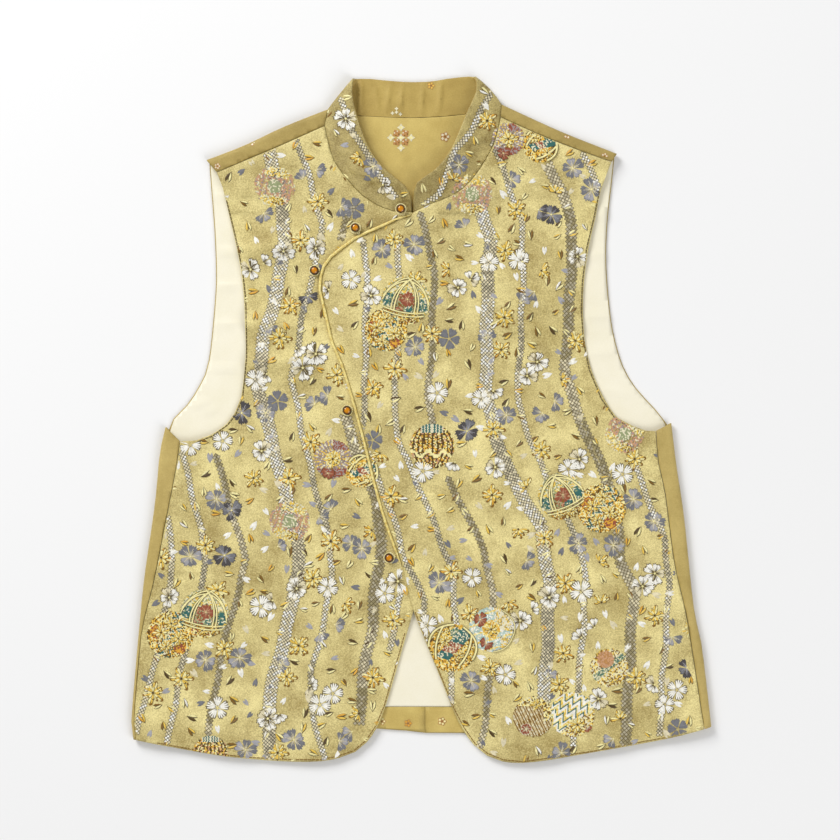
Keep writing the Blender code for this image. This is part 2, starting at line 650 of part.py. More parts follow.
# Fronts
side_outline = {}
for side in SIDE_SIGN:
    seam = SHOULDER_SEAM[side]
    arm_edge = smooth_path([seam[-1]] + FRONT_ARMHOLE[side] + [SIDE_SEAM[side][0]])
    side_outline[side] = joined(seam_line["shoulder", side], arm_edge, seam_line["side", side])
right_outline = joined(side_outline["right"], smooth_path([SIDE_SEAM["right"][-1]] + RIGHT_FRONT_HEM),
                       smooth_path(HIDDEN_UNDERLAP, 20.0), NECKS["right"][::-1])
front_panel("right_front", right_outline, right_front_height, brocade)
placket_edge = beside(smooth_path(PLACKET), PIPING_RADIUS + SEAM_GAP)
left_outline = joined(side_outline["left"], smooth_path([SIDE_SEAM["left"][-1]] + LEFT_FRONT_HEM),
                      placket_edge, NECKS["left"][::-1])
front_panel("left_front", left_outline, left_front_height, brocade)

make_collar(brocade, plain_gold)
make_piping(gold_cord)
for number, (x, y) in enumerate(BEADS, start=1):
    make_bead(number, x, y, under_trim(x, y) + TRIM_GAP + NECK_BEAD_RISE * (number == 1), amber_bead)
    make_loop(number, x, y, gold_cord)
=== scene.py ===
import math
import random

import bmesh
import bpy
import numpy as np
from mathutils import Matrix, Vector, noise
from mathutils.bvhtree import BVHTree


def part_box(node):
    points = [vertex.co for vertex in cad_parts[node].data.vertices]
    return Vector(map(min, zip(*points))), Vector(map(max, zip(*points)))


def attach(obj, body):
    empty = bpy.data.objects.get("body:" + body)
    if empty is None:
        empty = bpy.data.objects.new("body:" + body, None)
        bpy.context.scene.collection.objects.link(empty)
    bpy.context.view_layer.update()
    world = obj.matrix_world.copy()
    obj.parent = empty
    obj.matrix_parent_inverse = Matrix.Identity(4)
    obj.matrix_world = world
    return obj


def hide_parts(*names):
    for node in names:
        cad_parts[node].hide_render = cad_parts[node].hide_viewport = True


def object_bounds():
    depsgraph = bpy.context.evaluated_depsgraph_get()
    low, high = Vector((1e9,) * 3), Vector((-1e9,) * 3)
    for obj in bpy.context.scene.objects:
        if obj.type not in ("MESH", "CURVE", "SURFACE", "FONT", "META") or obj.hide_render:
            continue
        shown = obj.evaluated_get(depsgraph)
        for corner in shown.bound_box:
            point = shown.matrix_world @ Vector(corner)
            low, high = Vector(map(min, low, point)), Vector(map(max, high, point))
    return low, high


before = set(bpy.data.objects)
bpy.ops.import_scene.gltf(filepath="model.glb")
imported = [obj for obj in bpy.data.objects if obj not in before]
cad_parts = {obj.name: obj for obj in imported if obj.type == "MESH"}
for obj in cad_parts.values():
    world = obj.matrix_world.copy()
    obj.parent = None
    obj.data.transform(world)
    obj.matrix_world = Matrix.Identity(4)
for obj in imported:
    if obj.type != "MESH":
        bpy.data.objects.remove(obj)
cad_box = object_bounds()


# The photographer's table: a pale floor, two large soft lamps and a camera straight overhead.
# The garment lies face up, so the camera looks down on it from a stand 2.5 m high.
MM = 0.001
CAMERA_PLACE = (-1.3 * MM, -0.7 * MM, 2.5)
PHOTO_WIDTH = 0.840
SENSOR = 36.0
AIR_LIGHT = 0.38
FLOOR_GREY = 0.86
FLOOR_REACH = 4.0
FLOOR_DROP = 0.4 * MM

scene = bpy.context.scene
scene.view_settings.view_transform = "Standard"

camera_data = bpy.data.cameras.new("overhead_camera")
camera_data.sensor_width = SENSOR
camera_data.lens = SENSOR * CAMERA_PLACE[2] / PHOTO_WIDTH
camera = bpy.data.objects.new("overhead_camera", camera_data)
camera.location = CAMERA_PLACE
scene.collection.objects.link(camera)
scene.camera = camera

world = bpy.data.worlds.new("studio_air")
world.use_nodes = True
air = world.node_tree.nodes["Background"]
air.inputs["Color"].default_value = (1.0, 1.0, 1.0, 1.0)
air.inputs["Strength"].default_value = AIR_LIGHT
scene.world = world


def soft_lamp(name, place, size, power):
    """A square soft box at place (m), size (m) wide and turned to the garment, of power (W)."""
    data = bpy.data.lights.new(name, "AREA")
    data.shape = "SQUARE"
    data.size = size
    data.energy = power
    lamp = bpy.data.objects.new(name, data)
    lamp.location = place
    lamp.rotation_euler = (-Vector(place)).to_track_quat("-Z", "Y").to_euler()
    scene.collection.objects.link(lamp)


soft_lamp("key_box", (-2.2, 2.7, 2.3), 1.9, 146)
soft_lamp("fill_box", (2.4, -2.4, 2.8), 3.0, 86)

floor_mesh = bpy.data.meshes.new("studio_floor")
floor_corners = [(x * FLOOR_REACH, y * FLOOR_REACH, 0) for x, y in ((-1, -1), (1, -1), (1, 1), (-1, 1))]
floor_mesh.from_pydata(floor_corners, [], [(0, 1, 2, 3)])
studio_floor = bpy.data.objects.new("studio_floor", floor_mesh)
studio_floor.location.z = cad_box[0].z - FLOOR_DROP
scene.collection.objects.link(studio_floor)
floor_paper = bpy.data.materials.new("floor_paper")
floor_paper.use_nodes = True
paper = floor_paper.node_tree.nodes["Principled BSDF"]
paper.inputs["Base Color"].default_value = (FLOOR_GREY, FLOOR_GREY, FLOOR_GREY, 1.0)
paper.inputs["Roughness"].default_value = 0.9
floor_mesh.materials.append(floor_paper)


# The back: one panel of plain dull gold silk. Its shoulders and sides are folded forward in strips
# that show in front, and the fronts are sewn to them. Only those strips lie above FOLD_LEVEL.
CLOTH_SPACING = 5.0 * MM
FOLD_LEVEL = 2.0 * MM
SHADED_SHOULDER_FROM = 240.0 * MM


def cut_cloth(node, spacing):
    """The node's cloth as a bmesh, its corners joined, ruled into squares spacing (m) wide."""
    cloth = bmesh.new()
    cloth.from_mesh(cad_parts[node].data)
    bmesh.ops.remove_doubles(cloth, verts=cloth.verts, dist=0.01 * MM)
    low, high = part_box(node)
    for axis in (0, 1):
        across = Vector((1.0, 0.0, 0.0) if axis == 0 else (0.0, 1.0, 0.0))
        for step in range(1, int((high[axis] - low[axis]) / spacing)):
            everything = cloth.verts[:] + cloth.edges[:] + cloth.faces[:]
            bmesh.ops.bisect_plane(cloth, geom=everything, dist=0.02 * MM, plane_no=across,
                                   plane_co=low + across * spacing * step)
    bmesh.ops.triangulate(cloth, faces=[face for face in cloth.faces if len(face.verts) > 4])
    cloth.normal_update()
    return cloth


def cloth_ties(cloth):
    """Pairs of neighbouring points on one side of the cloth, without those across its cut edge."""
    lying = [edge for edge in cloth.edges if any(abs(face.normal.z) > 0.4 for face in edge.link_faces)]
    cloth.verts.index_update()
    return np.array([(edge.verts[0].index, edge.verts[1].index) for edge in lying])


def eased(values, ties, passes):
    """values after each has moved towards its neighbours' mean, passes times over."""
    count = np.bincount(ties.ravel(), minlength=len(values))
    for _ in range(passes):
        total = np.bincount(ties[:, 0], values[ties[:, 1]], len(values))
        total += np.bincount(ties[:, 1], values[ties[:, 0]], len(values))
        values = values + 0.5 * np.where(count > 0, total / np.maximum(count, 1) - values, 0.0)
    return values


def crease_height(points, creases):
    """Height in mm at points (mm) of soft folds, each from x, y to x, y with a width and a height."""
    height = np.zeros(len(points))
    for from_x, from_y, to_x, to_y, width, rise in creases:
        run = np.array([to_x - from_x, to_y - from_y])
        offset = points[:, :2] - np.array([from_x, from_y])
        share = np.clip(offset @ run / (run @ run), 0.0, 1.0)
        away = np.hypot(*(offset - share[:, None] * run).T)
        height += rise * np.exp(-(away / width) ** 2) * (0.35 + 0.65 * np.sin(math.pi * share))
    return height


def rumple(points, size, rise, seed):
    """Height in mm of a gentle unevenness whose swells are about size (mm) across."""
    return np.array([rise * noise.noise(Vector((x / size, y / size, seed))) for x, y, _ in points])


def sewn_piece(name, cloth, finish, stands_for, sharp=50.0):
    """Makes the bmesh an object with its finish, which stands for CAD nodes and rides on the body."""
    mesh = bpy.data.meshes.new(name)
    cloth.to_mesh(mesh)
    cloth.free()
    mesh.materials.append(finish)
    mesh.shade_smooth()
    mesh.set_sharp_from_angle(angle=math.radians(sharp))
    piece = bpy.data.objects.new(name, mesh)
    scene.collection.objects.link(piece)
    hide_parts(*stands_for)
    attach(piece, "root")
    return piece


def srgb(red, green, blue):
    """A paint chart colour, 0 to 255, as the linear colour that a shader takes."""
    linear = [(part / 255.0) ** 2.2 for part in (red, green, blue)]
    return (*linear, 1.0)


def node_maker(finish):
    """Two functions for the finish's shader: one adds a node, one adds a sum, and each feeds its sockets."""
    finish.use_nodes = True
    tree = finish.node_tree

    def feed(socket, value):
        if isinstance(value, bpy.types.NodeSocket):
            tree.links.new(value, socket)
        else:
            socket.default_value = value

    def add(kind, settings=(), **sockets):
        node = tree.nodes.new(kind)
        for key, value in dict(settings).items():
            setattr(node, key, value)
        for key, value in sockets.items():
            feed(node.inputs[key.replace("_", " ")], value)
        return node

    def reckon(operation, *terms):
        node = add("ShaderNodeMath", {"operation": operation})
        for socket, term in zip(node.inputs, terms):
            feed(socket, term)
        return node.outputs["Value"]

    return add, reckon


def shaded(add, level, low, dark, high, light):
    """A colour that runs from dark to light as level goes from low to high."""
    ramp = add("ShaderNodeValToRGB", Fac=level)
    for element, position, colour in zip(ramp.color_ramp.elements, (low, high), (dark, light)):
        element.position = position
        element.color = colour
    return ramp.outputs["Color"]


def painted(finish, colour, roughness, bump=None):
    """Puts the colour, roughness and bumps on the finish's surface, and gives that surface."""
    tree = finish.node_tree
    surface = tree.nodes["Principled BSDF"]
    tree.links.new(colour, surface.inputs["Base Color"])
    surface.inputs["Roughness"].default_value = roughness
    if bump:
        tree.links.new(bump.outputs["Normal"], surface.inputs["Normal"])
    return surface


def woven_finish(name, light, dark, patch, thread, roughness, relief, sheen=0.0, grain=0.45):
    """A woven cloth: two shades in soft patches (mm) and grain, with threads thread (mm) apart."""
    finish = bpy.data.materials.new(name)
    add, reckon = node_maker(finish)
    where = add("ShaderNodeTexCoord").outputs["Object"]
    clouds = add("ShaderNodeTexNoise", Vector=where, Scale=1000.0 / patch, Detail=5.0, Roughness=0.6)
    specks = add("ShaderNodeTexNoise", Vector=where, Scale=1000.0 / (1.6 * thread), Detail=2.0)
    clouded = reckon("ADD", clouds.outputs["Fac"], -0.5 * grain)
    level = reckon("MULTIPLY_ADD", specks.outputs["Fac"], grain, clouded)
    warp, weft = [add("ShaderNodeTexWave", {"bands_direction": way}, Vector=where, Scale=314.0 / thread,
                      Distortion=0.6).outputs["Fac"] for way in "XY"]
    bump = add("ShaderNodeBump", Strength=relief, Distance=0.4 * MM, Height=reckon("MULTIPLY", warp, weft))
    surface = painted(finish, shaded(add, level, 0.28, dark, 0.72, light), roughness, bump)
    surface.inputs["Sheen Weight"].default_value = sheen
    surface.inputs["Sheen Roughness"].default_value = 0.4
    return finish


dull_gold = woven_finish("dull_gold_silk", srgb(197, 174, 104), srgb(172, 149, 82), patch=30, thread=0.8,
                         roughness=0.62, relief=0.35, sheen=0.1)
# The shoulder strips take a darker copy of the same silk: painted shade, standing in for a slope that turns
# them from the light.
shaded_shoulder_gold = woven_finish("shoulder_silk", srgb(182, 159, 90), srgb(156, 134, 70), patch=30, thread=0.8,
                             roughness=0.62, relief=0.35, sheen=0.1)
back_cloth = cut_cloth("back", CLOTH_SPACING)
back_points = np.array([vert.co for vert in back_cloth.verts]) / MM
back_lift = rumple(back_points, 70.0, 0.25, 3.0) + rumple(back_points, 22.0, 0.10, 4.0)
for vert, lift in zip(back_cloth.verts, back_lift):
    if vert.co.z > FOLD_LEVEL:
        vert.co.z += lift * MM
back = sewn_piece("back_panel", back_cloth, dull_gold, ["back"])
# Faces high on the back, in the shoulder strips, take the painted shade copy.
back.data.materials.append(shaded_shoulder_gold)
for face in back.data.polygons:
    if face.center.y > SHADED_SHOULDER_FROM:
        face.material_index = 1


# The facings inside the back of the neck and the back hem: the same plain silk, cut in curved strips
# and sewn to the lining.
facing_gold = woven_finish("facing_silk", srgb(212, 188, 108), srgb(188, 162, 86), patch=24, thread=0.8,
                           roughness=0.6, relief=0.35, sheen=0.1)
FACING_CUTS = {"back_neck_facing": ((0.288, 0.131), 0.0277),
               "back_hem_facing_right": ((0.289, 0.032), 0.0074),
               "back_hem_facing_left": ((0.281, 0.026), 0.0067)}
facings = []
for node, (flat, area) in FACING_CUTS.items():
    facing = sewn_piece(node.replace("back_", "silk_"), cut_cloth(node, CLOTH_SPACING), facing_gold, [node])
    facings.append(facing)


# The back lining: cream satin, laid inside the back and felled to its folded edges. It shows through
# the armholes and below the fronts, where it lies in soft creases.
LINING_CREASES = [(-207, 223, -170, 226, 5, 1.2), (-205, 167, -176, 168, 5, 1.3),
                  (-207, 133, -180, 134, 4, 1.2), (-207, 95, -181, 96, 4, 1.0),
                  (-210, 51, -182, 50, 4, 1.3), (-228, 11, -212, 20, 4, 1.2),
                  (-217, 5, -205, 12, 4, 1.0), (170, 205, 190, 206, 5, 1.2),
                  (165, 164, 190, 165, 5, 1.2), (165, 103, 192, 104, 5, 1.3),
                  (168, 66, 198, 68, 5, 1.1), (180, 31, 210, 24, 4, 1.0)]


def creased(cloth, creases):
    """The cloth with its points lifted along the creases."""
    spots = np.array([vert.co for vert in cloth.verts]) / MM
    for vert, rise in zip(cloth.verts, crease_height(spots, creases)):
        vert.co.z += rise * MM
    return cloth


cream_satin = woven_finish("cream_satin", srgb(246, 240, 219), srgb(238, 231, 204), patch=60, thread=0.6,
                           roughness=0.38, relief=0.12, sheen=0.15)
lining = sewn_piece("satin_lining", creased(cut_cloth("back_lining", CLOTH_SPACING), LINING_CREASES),
                    cream_satin, ["back_lining"])


# The two fronts: gold brocade panels, sewn to the folded edges of the back. The wearer's left one
# laps over the right one in a long curve from the neck to the hem. Both are a little crumpled.
FRONT_SPACING = 4.0 * MM
FRONT_EASING = 24
FRONT_LOFT = 0.6
FRONT_CREASES = {"right_front": [(-190, 168, -112, 174, 10, 4.0), (-190, 98, -104, 88, 10, 4.2),
                                 (-188, 55, -108, 62, 8, 3.4), (-150, 205, -95, 175, 12, 3.0),
                                 (-120, 20, -80, -30, 14, 1.6), (-235, -60, -180, -90, 12, 1.5),
                                 (-110, -120, -70, -190, 16, 1.8), (-200, -180, -150, -230, 15, 1.6)],
                 "left_front": [(52, 158, 160, 92, 8, 4.2), (70, 118, 132, 66, 8, 3.8),
                                (150, 18, 182, -54, 4, 2.2), (60, 225, 118, 238, 10, 3.0),
                                (90, 190, 175, 160, 13, 2.0), (-20, 150, 30, 120, 12, 1.5),
                                (20, 40, 90, -10, 14, 1.8), (120, -60, 190, -110, 13, 1.8),
                                (40, -120, 110, -150, 16, 1.6), (150, -200, 210, -240, 14, 1.6)]}


def front_lift(points, node):
    """Height in mm of a front's folds and unevenness over its CAD face, at points (mm)."""
    lift = crease_height(points, FRONT_CREASES[node])
    lift += rumple(points, 45.0, 1.5, 7.0) + rumple(points, 17.0, 0.55, 8.0) + FRONT_LOFT
    return np.maximum(lift, 0.0)


brocade_ground = woven_finish("brocade_ground", srgb(246, 230, 157), srgb(166, 145, 81), patch=44,
                              thread=0.8, roughness=0.40, relief=0.6, sheen=0.1, grain=0.65)
fronts = {}
for node in ("right_front", "left_front"):
    panel = cut_cloth(node, FRONT_SPACING)
    heights = eased(np.array([vert.co.z for vert in panel.verts]), cloth_ties(panel), FRONT_EASING)
    points = np.array([vert.co for vert in panel.verts]) / MM
    for vert, height, rise in zip(panel.verts, heights, front_lift(points, node)):
        vert.co.z = height + rise * MM
    fronts[node] = sewn_piece("brocade_" + node, panel, brocade_ground, [node])


# The standing collar: a brocade strip outside and a plain silk strip inside, sewn to the neckline and
# rolled open. Its lower edge is eased on, so it puckers along the seam.
COLLAR_SPACING = 2.5 * MM
COLLAR_PUCKERS = [(-72, 251, -58, 243, 3.2, 2.2), (-54, 245, -40, 232, 3.2, 2.3),
                  (-84, 268, -72, 264, 3.4, 2.0), (5, 247, 14, 234, 3.2, 2.0), (24, 255, 35, 243, 3.0, 1.8),
                  (42, 264, 54, 251, 3.2, 2.3), (54, 282, 68, 276, 3.2, 2.0)]
INSIDE_CREASES = [(-60, 336, -61, 303, 2.2, 2.6), (-31, 335, -35, 306, 1.8, 1.9),
                  (-19, 335, -21, 306, 1.5, 2.6), (2, 336, 0, 303, 1.5, 2.2), (20, 337, 17, 306, 1.6, 2.6),
                  (-46, 330, -42, 306, 2.0, 1.4)]
# The collar's brocade is a darker copy of the fronts' brocade: painted shade for the standing collar's tilt.
collar_brocade = woven_finish("collar_brocade", srgb(206, 188, 120), srgb(132, 112, 56), patch=26,
                              thread=0.8, roughness=0.40, relief=0.6, sheen=0.1, grain=0.65)
collar_silk = woven_finish("collar_silk", srgb(190, 164, 88), srgb(166, 139, 68), patch=24, thread=0.8,
                           roughness=0.6, relief=0.35, sheen=0.1)
collar = sewn_piece("brocade_collar", creased(cut_cloth("collar_outer", COLLAR_SPACING), COLLAR_PUCKERS),
                    collar_brocade, ["collar_outer"])
collar_inside = sewn_piece("collar_inside",
                           creased(cut_cloth("collar_facing", COLLAR_SPACING), INSIDE_CREASES),
                           collar_silk, ["collar_facing"])


# The brocade's woven pattern: rippling bands of net, blossoms, loose petals and thread balls in silk
# and gilt threads. The threads float on the ground cloth, so each is laid on it a little raised.
# Places are read off the photograph, in mm across and down from its corner.
PHOTO_ORIGIN = (421.3, 419.3)
NET_PITCH = 3.6
GREY_PITCH = 4.1
WHITE_BANDS = [
    (13, [(270, 150), (283, 210), (285, 240), (278, 290), (265, 335), (258, 385), (268, 425), (285, 490),
          (298, 545), (300, 570), (292, 600), (285, 640), (275, 670), (268, 715), (272, 760)]),
    (6, [(297, 140), (310, 180), (322, 225), (316, 265), (306, 300), (292, 380), (302, 430), (312, 475),
         (330, 540), (332, 570), (325, 620), (312, 670), (310, 700), (325, 762)]),
    (6, [(181, 445), (192, 490), (200, 525), (207, 560), (200, 590)]),
    (7, [(168, 515), (174, 560), (168, 600), (160, 640), (152, 680), (140, 715), (138, 735)]),
    (6, [(187, 640), (178, 690), (168, 745)]),
    (7, [(362, 240), (368, 270), (366, 310), (365, 400), (362, 430), (376, 475), (392, 512), (405, 560),
         (425, 600), (424, 640), (430, 660)]),
    (6, [(398, 240), (399, 280), (397, 350), (394, 410), (400, 445), (425, 500), (452, 570), (456, 620),
         (452, 660), (450, 705)]),
    (13, [(480, 205), (490, 240), (487, 300), (486, 395), (495, 435), (510, 475), (540, 525), (549, 580),
          (547, 650), (543, 700)]),
    (6, [(493, 143), (506, 180), (521, 220), (523, 270), (520, 350), (517, 400), (530, 440), (556, 500),
         (578, 540), (585, 580), (583, 630), (578, 680), (572, 745)]),
    (6, [(582, 154), (594, 180), (600, 195)]),
    (6, [(634, 465), (648, 500), (664, 540), (668, 580), (665, 640), (660, 700), (660, 735)]),
    (7, [(340, 100), (352, 130), (366, 155), (382, 178), (396, 200)]),
    (6, [(492, 92), (472, 130), (455, 152), (448, 172), (438, 195), (424, 207)]),
    (6, [(402, 590), (395, 620), (390, 650)]),
]
GREY_BANDS = [
    (8, [(217, 455), (226, 490), (238, 530), (246, 560), (240, 590), (230, 620), (220, 665), (208, 735)]),
    (9, [(345, 415), (352, 440), (376, 500), (382, 540), (375, 590), (372, 630), (362, 680), (360, 725)]),
    (8, [(419, 214), (428, 240), (434, 270), (432, 345), (428, 400), (432, 425)]),
    (8, [(447, 478), (462, 505), (484, 550), (492, 590), (492, 610)]),
    (8, [(490, 675), (485, 720), (478, 755)]),
    (9, [(548, 165), (562, 195), (572, 225), (570, 290), (565, 370), (575, 410), (592, 445), (610, 490),
         (617, 530), (620, 560), (634, 590), (630, 640), (628, 690), (624, 745)]),
    (6, [(357, 205), (346, 218), (340, 240)]),
]
BLOSSOMS = {
    "white": [(284, 252), (316, 249), (251, 270), (351, 280), (316, 354), (303, 368), (256, 380),
              (191, 445), (223, 441), (262, 451), (297, 588), (328, 587), (398, 581), (385, 593),
              (170, 597), (261, 606), (218, 707), (268, 718), (333, 693), (320, 704), (371, 296),
              (489, 263), (458, 288), (518, 260), (437, 393), (481, 399), (495, 467), (577, 257),
              (537, 362), (527, 376), (579, 459), (568, 469), (622, 474), (654, 573), (642, 586),
              (472, 577), (427, 625), (520, 620), (549, 597), (505, 674), (581, 591), (598, 698),
              (676, 689), (664, 704), (346, 120), (423, 471)],
    "gold": [(318, 202), (301, 241), (290, 306), (280, 338), (311, 442), (254, 478), (289, 478),
             (206, 545), (331, 541), (313, 578), (218, 590), (225, 648), (182, 678), (154, 692),
             (278, 752), (287, 676), (299, 645), (393, 620), (373, 677), (394, 240), (505, 251),
             (504, 318), (501, 350), (432, 334), (415, 281), (516, 210), (575, 341), (395, 369),
             (373, 388), (493, 429), (391, 496), (492, 495), (541, 450), (634, 459), (544, 538),
             (565, 583), (451, 571), (470, 613), (490, 667), (563, 653), (559, 684), (635, 677),
             (654, 615), (690, 628), (487, 122), (337, 375), (162, 557)],
    "slate": [(354, 209), (278, 401), (266, 413), (217, 499), (191, 556), (362, 548), (206, 659),
              (240, 657), (246, 749), (294, 739), (382, 250), (414, 245), (449, 339), (415, 347),
              (373, 440), (572, 169), (591, 190), (506, 415), (633, 499), (653, 521), (578, 543),
              (613, 545), (439, 582), (471, 680), (677, 728), (561, 752), (373, 168), (459, 166)],
    "dark": [(242, 413), (232, 510), (225, 555), (551, 215), (467, 431)],
}
PART_BLOSSOMS = {
    "white": [(264, 264), (297, 348), (267, 374), (329, 290), (273, 600), (279, 713), (310, 685),
              (470, 280), (493, 391), (531, 610), (594, 627), (581, 637), (654, 684), (383, 186),
              (522, 262), (455, 462)],
    "gold": [(345, 603), (359, 713), (449, 269), (541, 271), (561, 380), (526, 487), (518, 529),
             (599, 562), (508, 602), (601, 602), (620, 718), (372, 530), (380, 453), (555, 193),
             (453, 181), (360, 158)],
    "slate": [(341, 207), (316, 171), (303, 180), (264, 214), (270, 326), (328, 396), (315, 404),
              (331, 509), (319, 516), (278, 546), (352, 543), (280, 664), (335, 624), (321, 632),
              (352, 731), (339, 740), (465, 228), (486, 338), (510, 180), (534, 292), (521, 303),
              (554, 401), (542, 413), (526, 560), (547, 676), (455, 702), (671, 636), (613, 738)],
    "dark": [(308, 296), (538, 210), (686, 667)],
}
threads = []


def weave(finish, outline, lift):
    """Lays one patch of thread, its corners in photo mm, lift (mm) above the ground cloth."""
    threads.append((finish, outline, lift))


def turned(points, x, y, size, turn):
    """points scaled by size, turned by turn (radians) and moved to x, y."""
    cosine, sine = math.cos(turn) * size, math.sin(turn) * size
    return [(x + a * cosine - b * sine, y + a * sine + b * cosine) for a, b in points]


def straight_runs(path):
    """Each straight run of a path: its start, its direction and its length."""
    for (from_x, from_y), (to_x, to_y) in zip(path, path[1:]):
        length = math.hypot(to_x - from_x, to_y - from_y)
        yield (from_x, from_y), ((to_x - from_x) / length, (to_y - from_y) / length), length


def beside(start, along, run, side):
    """The point that lies run along a straight run and side across it."""
    return start[0] + along[0] * run - along[1] * side, start[1] + along[1] * run + along[0] * side


NET_DIAMOND = [(0, -1), (1, 0), (0, 1), (-1, 0)]
NET_RIPPLE = 0.9
BODY_SHARE = 0.395
UNDER_SHARE = 0.56
DIM_FROM = 0.60


def net_band(path, width, body, under, seed, pitch=NET_PITCH):
    """A rippling band of net: rows of small diamonds, each body thread over an under one."""
    dice = random.Random(seed)
    walked = 0.0
    for start, along, length in straight_runs(path):
        turn = math.atan2(along[1], along[0])
        first_row = math.ceil(walked / (pitch / 2))
        last_row = math.floor((walked + length) / (pitch / 2))
        for row in range(first_row, last_row + 1):
            wave = math.sin(row * 0.19 + seed) * NET_RIPPLE
            dim = math.sin(row * 0.060 + seed * 1.7) > DIM_FROM
            count = int(width / pitch / 2) + 1
            for column in range(-count, count + 1):
                side = (column + 0.5 * (row % 2)) * pitch
                if abs(side) > width / 2:
                    continue
                spot = beside(start, along, row * pitch / 2 - walked, side + wave)
                weave(under, turned(NET_DIAMOND, *spot, pitch * UNDER_SHARE, turn), 0.10)
                thread = dice.choice(("net_taupe", "pearl_silk") if dim else body)
                weave(thread, turned(NET_DIAMOND, *spot, pitch * BODY_SHARE, turn), 0.34)
        walked += length


SILK_PETAL = [(0.10, 0.0), (0.36, 0.20), (0.68, 0.40), (0.90, 0.36), (0.84, 0.25), (1.02, 0.17),
              (0.84, 0.06), (0.94, -0.04), (0.83, -0.10), (1.0, -0.24), (0.86, -0.30), (0.88, -0.40),
              (0.66, -0.39), (0.36, -0.22)]
GILT_PETAL = [(0.20, 0.0), (0.55, 0.16), (0.88, 0.15), (1.0, 0.0), (0.88, -0.15), (0.55, -0.16)]
STAMEN = [(0.12, 0.03), (0.62, 0.015), (0.62, -0.015), (0.12, -0.03)]
LOOSE_PETAL = [(0.0, -1.05), (0.48, -0.25), (0.58, 0.48), (0.32, 1.0), (0.0, 0.42), (-0.32, 1.0),
               (-0.58, 0.48), (-0.48, -0.25)]
PETAL_LOBE = [(0.02, -1.0), (0.46, -0.25), (0.58, 0.50), (0.34, 1.0), (0.12, 0.20)]


def laid_petal(finish, shape, x, y, size, turn, lift, crown):
    """A petal of satin stitch: a fan of facets from its raised middle out to its edge."""
    outline = turned(shape, x, y, size, turn)
    middle = (sum(p[0] for p in outline) / len(outline), sum(p[1] for p in outline) / len(outline))
    for first, second in zip(outline, outline[1:] + outline[:1]):
        threads.append((finish, [first, second, middle], (lift, lift, lift + crown)))


SILK_EYE = [(0.12, 0.0), (0.0, 0.12), (-0.12, 0.0), (0.0, -0.12)]
GILT_EYE = [(0.13, 0.0), (0.0, 0.13), (-0.13, 0.0), (0.0, -0.13)]
SILK_STROKE = [(0.14, 0.0), (0.50, 0.075), (0.98, 0.06), (0.90, 0.0), (0.98, -0.06), (0.50, -0.075)]
GILT_HALF = [(0.14, 0.0), (0.50, 0.16), (0.86, 0.20), (1.02, 0.05), (0.60, 0.01)]
MIRRORED_HALF = [(a, -b) for a, b in reversed(GILT_HALF)]


def silk_blossom(x, y, size, turn, body, edge, line, petals=range(5), base=0.0):
    """A five-petalled blossom in silk, its petals notched and lined with finer thread."""
    for petal in petals:
        way = turn + petal * math.tau / 5 + 0.10 * math.sin(petal * 2.9 + x)
        long = size * (0.97 + 0.11 * math.sin(petal * 4.3 + y))
        weave(edge, turned(SILK_PETAL, x, y, long * 1.10, way), 0.20 + base)
        laid_petal(body[petal % len(body)], SILK_PETAL, x, y, long, way, 0.24 + base, 0.30)
        for bend, share in ((-0.26, 0.85), (0.02, 1.25), (0.24, 0.95)):
            weave(line, turned(STAMEN, x, y, long * share, way + bend), 0.62 + base)
    weave("bright_gilt", turned(SILK_EYE, x, y, size, turn), 0.66 + base)


def stroked_blossom(x, y, size, turn, stroke, under, petals=range(5)):
    """A five-petalled blossom whose petals are four separate strokes over a dark ground."""
    for petal in petals:
        way = turn + petal * math.tau / 5
        weave(under, turned(SILK_PETAL, x, y, size * 1.04, way), 0.20)
        for bend, reach in ((-0.36, 0.94), (-0.12, 1.0), (0.12, 1.0), (0.36, 0.94)):
            laid_petal(stroke, SILK_STROKE, x, y, size * reach, way + bend, 0.32, 0.25)


def gilt_blossom(x, y, size, turn, warm, petals=range(10), base=0.0):
    """A blossom of many narrow gilt petals, each two strokes, in two rounds over a brown shadow."""
    for petal in petals:
        way = turn + petal * math.tau / 10 + 0.13 * math.sin(petal * 3.7 + x)
        long = size * (0.94 + 0.17 * math.sin(petal * 2.6 + y))
        weave("dark_gilt", turned(GILT_PETAL, x + 0.4, y + 0.5, long * 1.14, way), 0.18 + base)
        laid_petal("bright_gilt", GILT_HALF, x, y, long, way, 0.30 + base, 0.40)
        shade = "amber_gilt" if warm and petal % 3 else "gilt"
        laid_petal(shade, MIRRORED_HALF, x, y, long * 0.94, way, 0.30 + base, 0.40)
    for petal in petals:
        way = turn + (petal + 0.5) * math.tau / 10 + 0.20 * math.sin(petal * 5.1 + y)
        long = size * (0.60 + 0.12 * math.sin(petal * 3.1 + x))
        weave("brown_line", turned(GILT_PETAL, x + 0.2, y + 0.3, long * 1.12, way), 0.66 + base)
        laid_petal("bright_gilt" if petal % 2 else "gilt", GILT_PETAL, x, y, long, way, 0.72 + base, 0.30)
    weave("brown_line", turned(GILT_EYE, x, y, size, turn), 1.10 + base)


# Edges of the fronts that get a dark line of painted shade, in photo mm.
ARMHOLE_EDGES = [
    [(224, 189), (230, 213), (237, 242), (243, 271), (246, 299), (247, 328), (247, 359), (243, 398),
     (236, 415), (228, 425), (213, 436), (198, 442)],
    [(599, 192), (594, 216), (586, 250), (582, 283), (581, 311), (583, 341), (589, 370), (601, 399),
     (615, 419), (631, 428), (644, 433)],
]
HEM_EDGES = [
    [(158, 742), (215, 753), (253, 757), (292, 759), (320, 759), (339, 755), (354, 750), (366, 740),
     (376, 725), (384, 706), (394, 672), (405, 632)],
    [(664, 737), (589, 751), (551, 757), (522, 761), (503, 759), (488, 753), (475, 743), (464, 727),
     (454, 708), (444, 683), (427, 641), (415, 611)],
]
SHADE_DASH_STEP = 4.0
SHADE_DASH_SHARE = 0.86


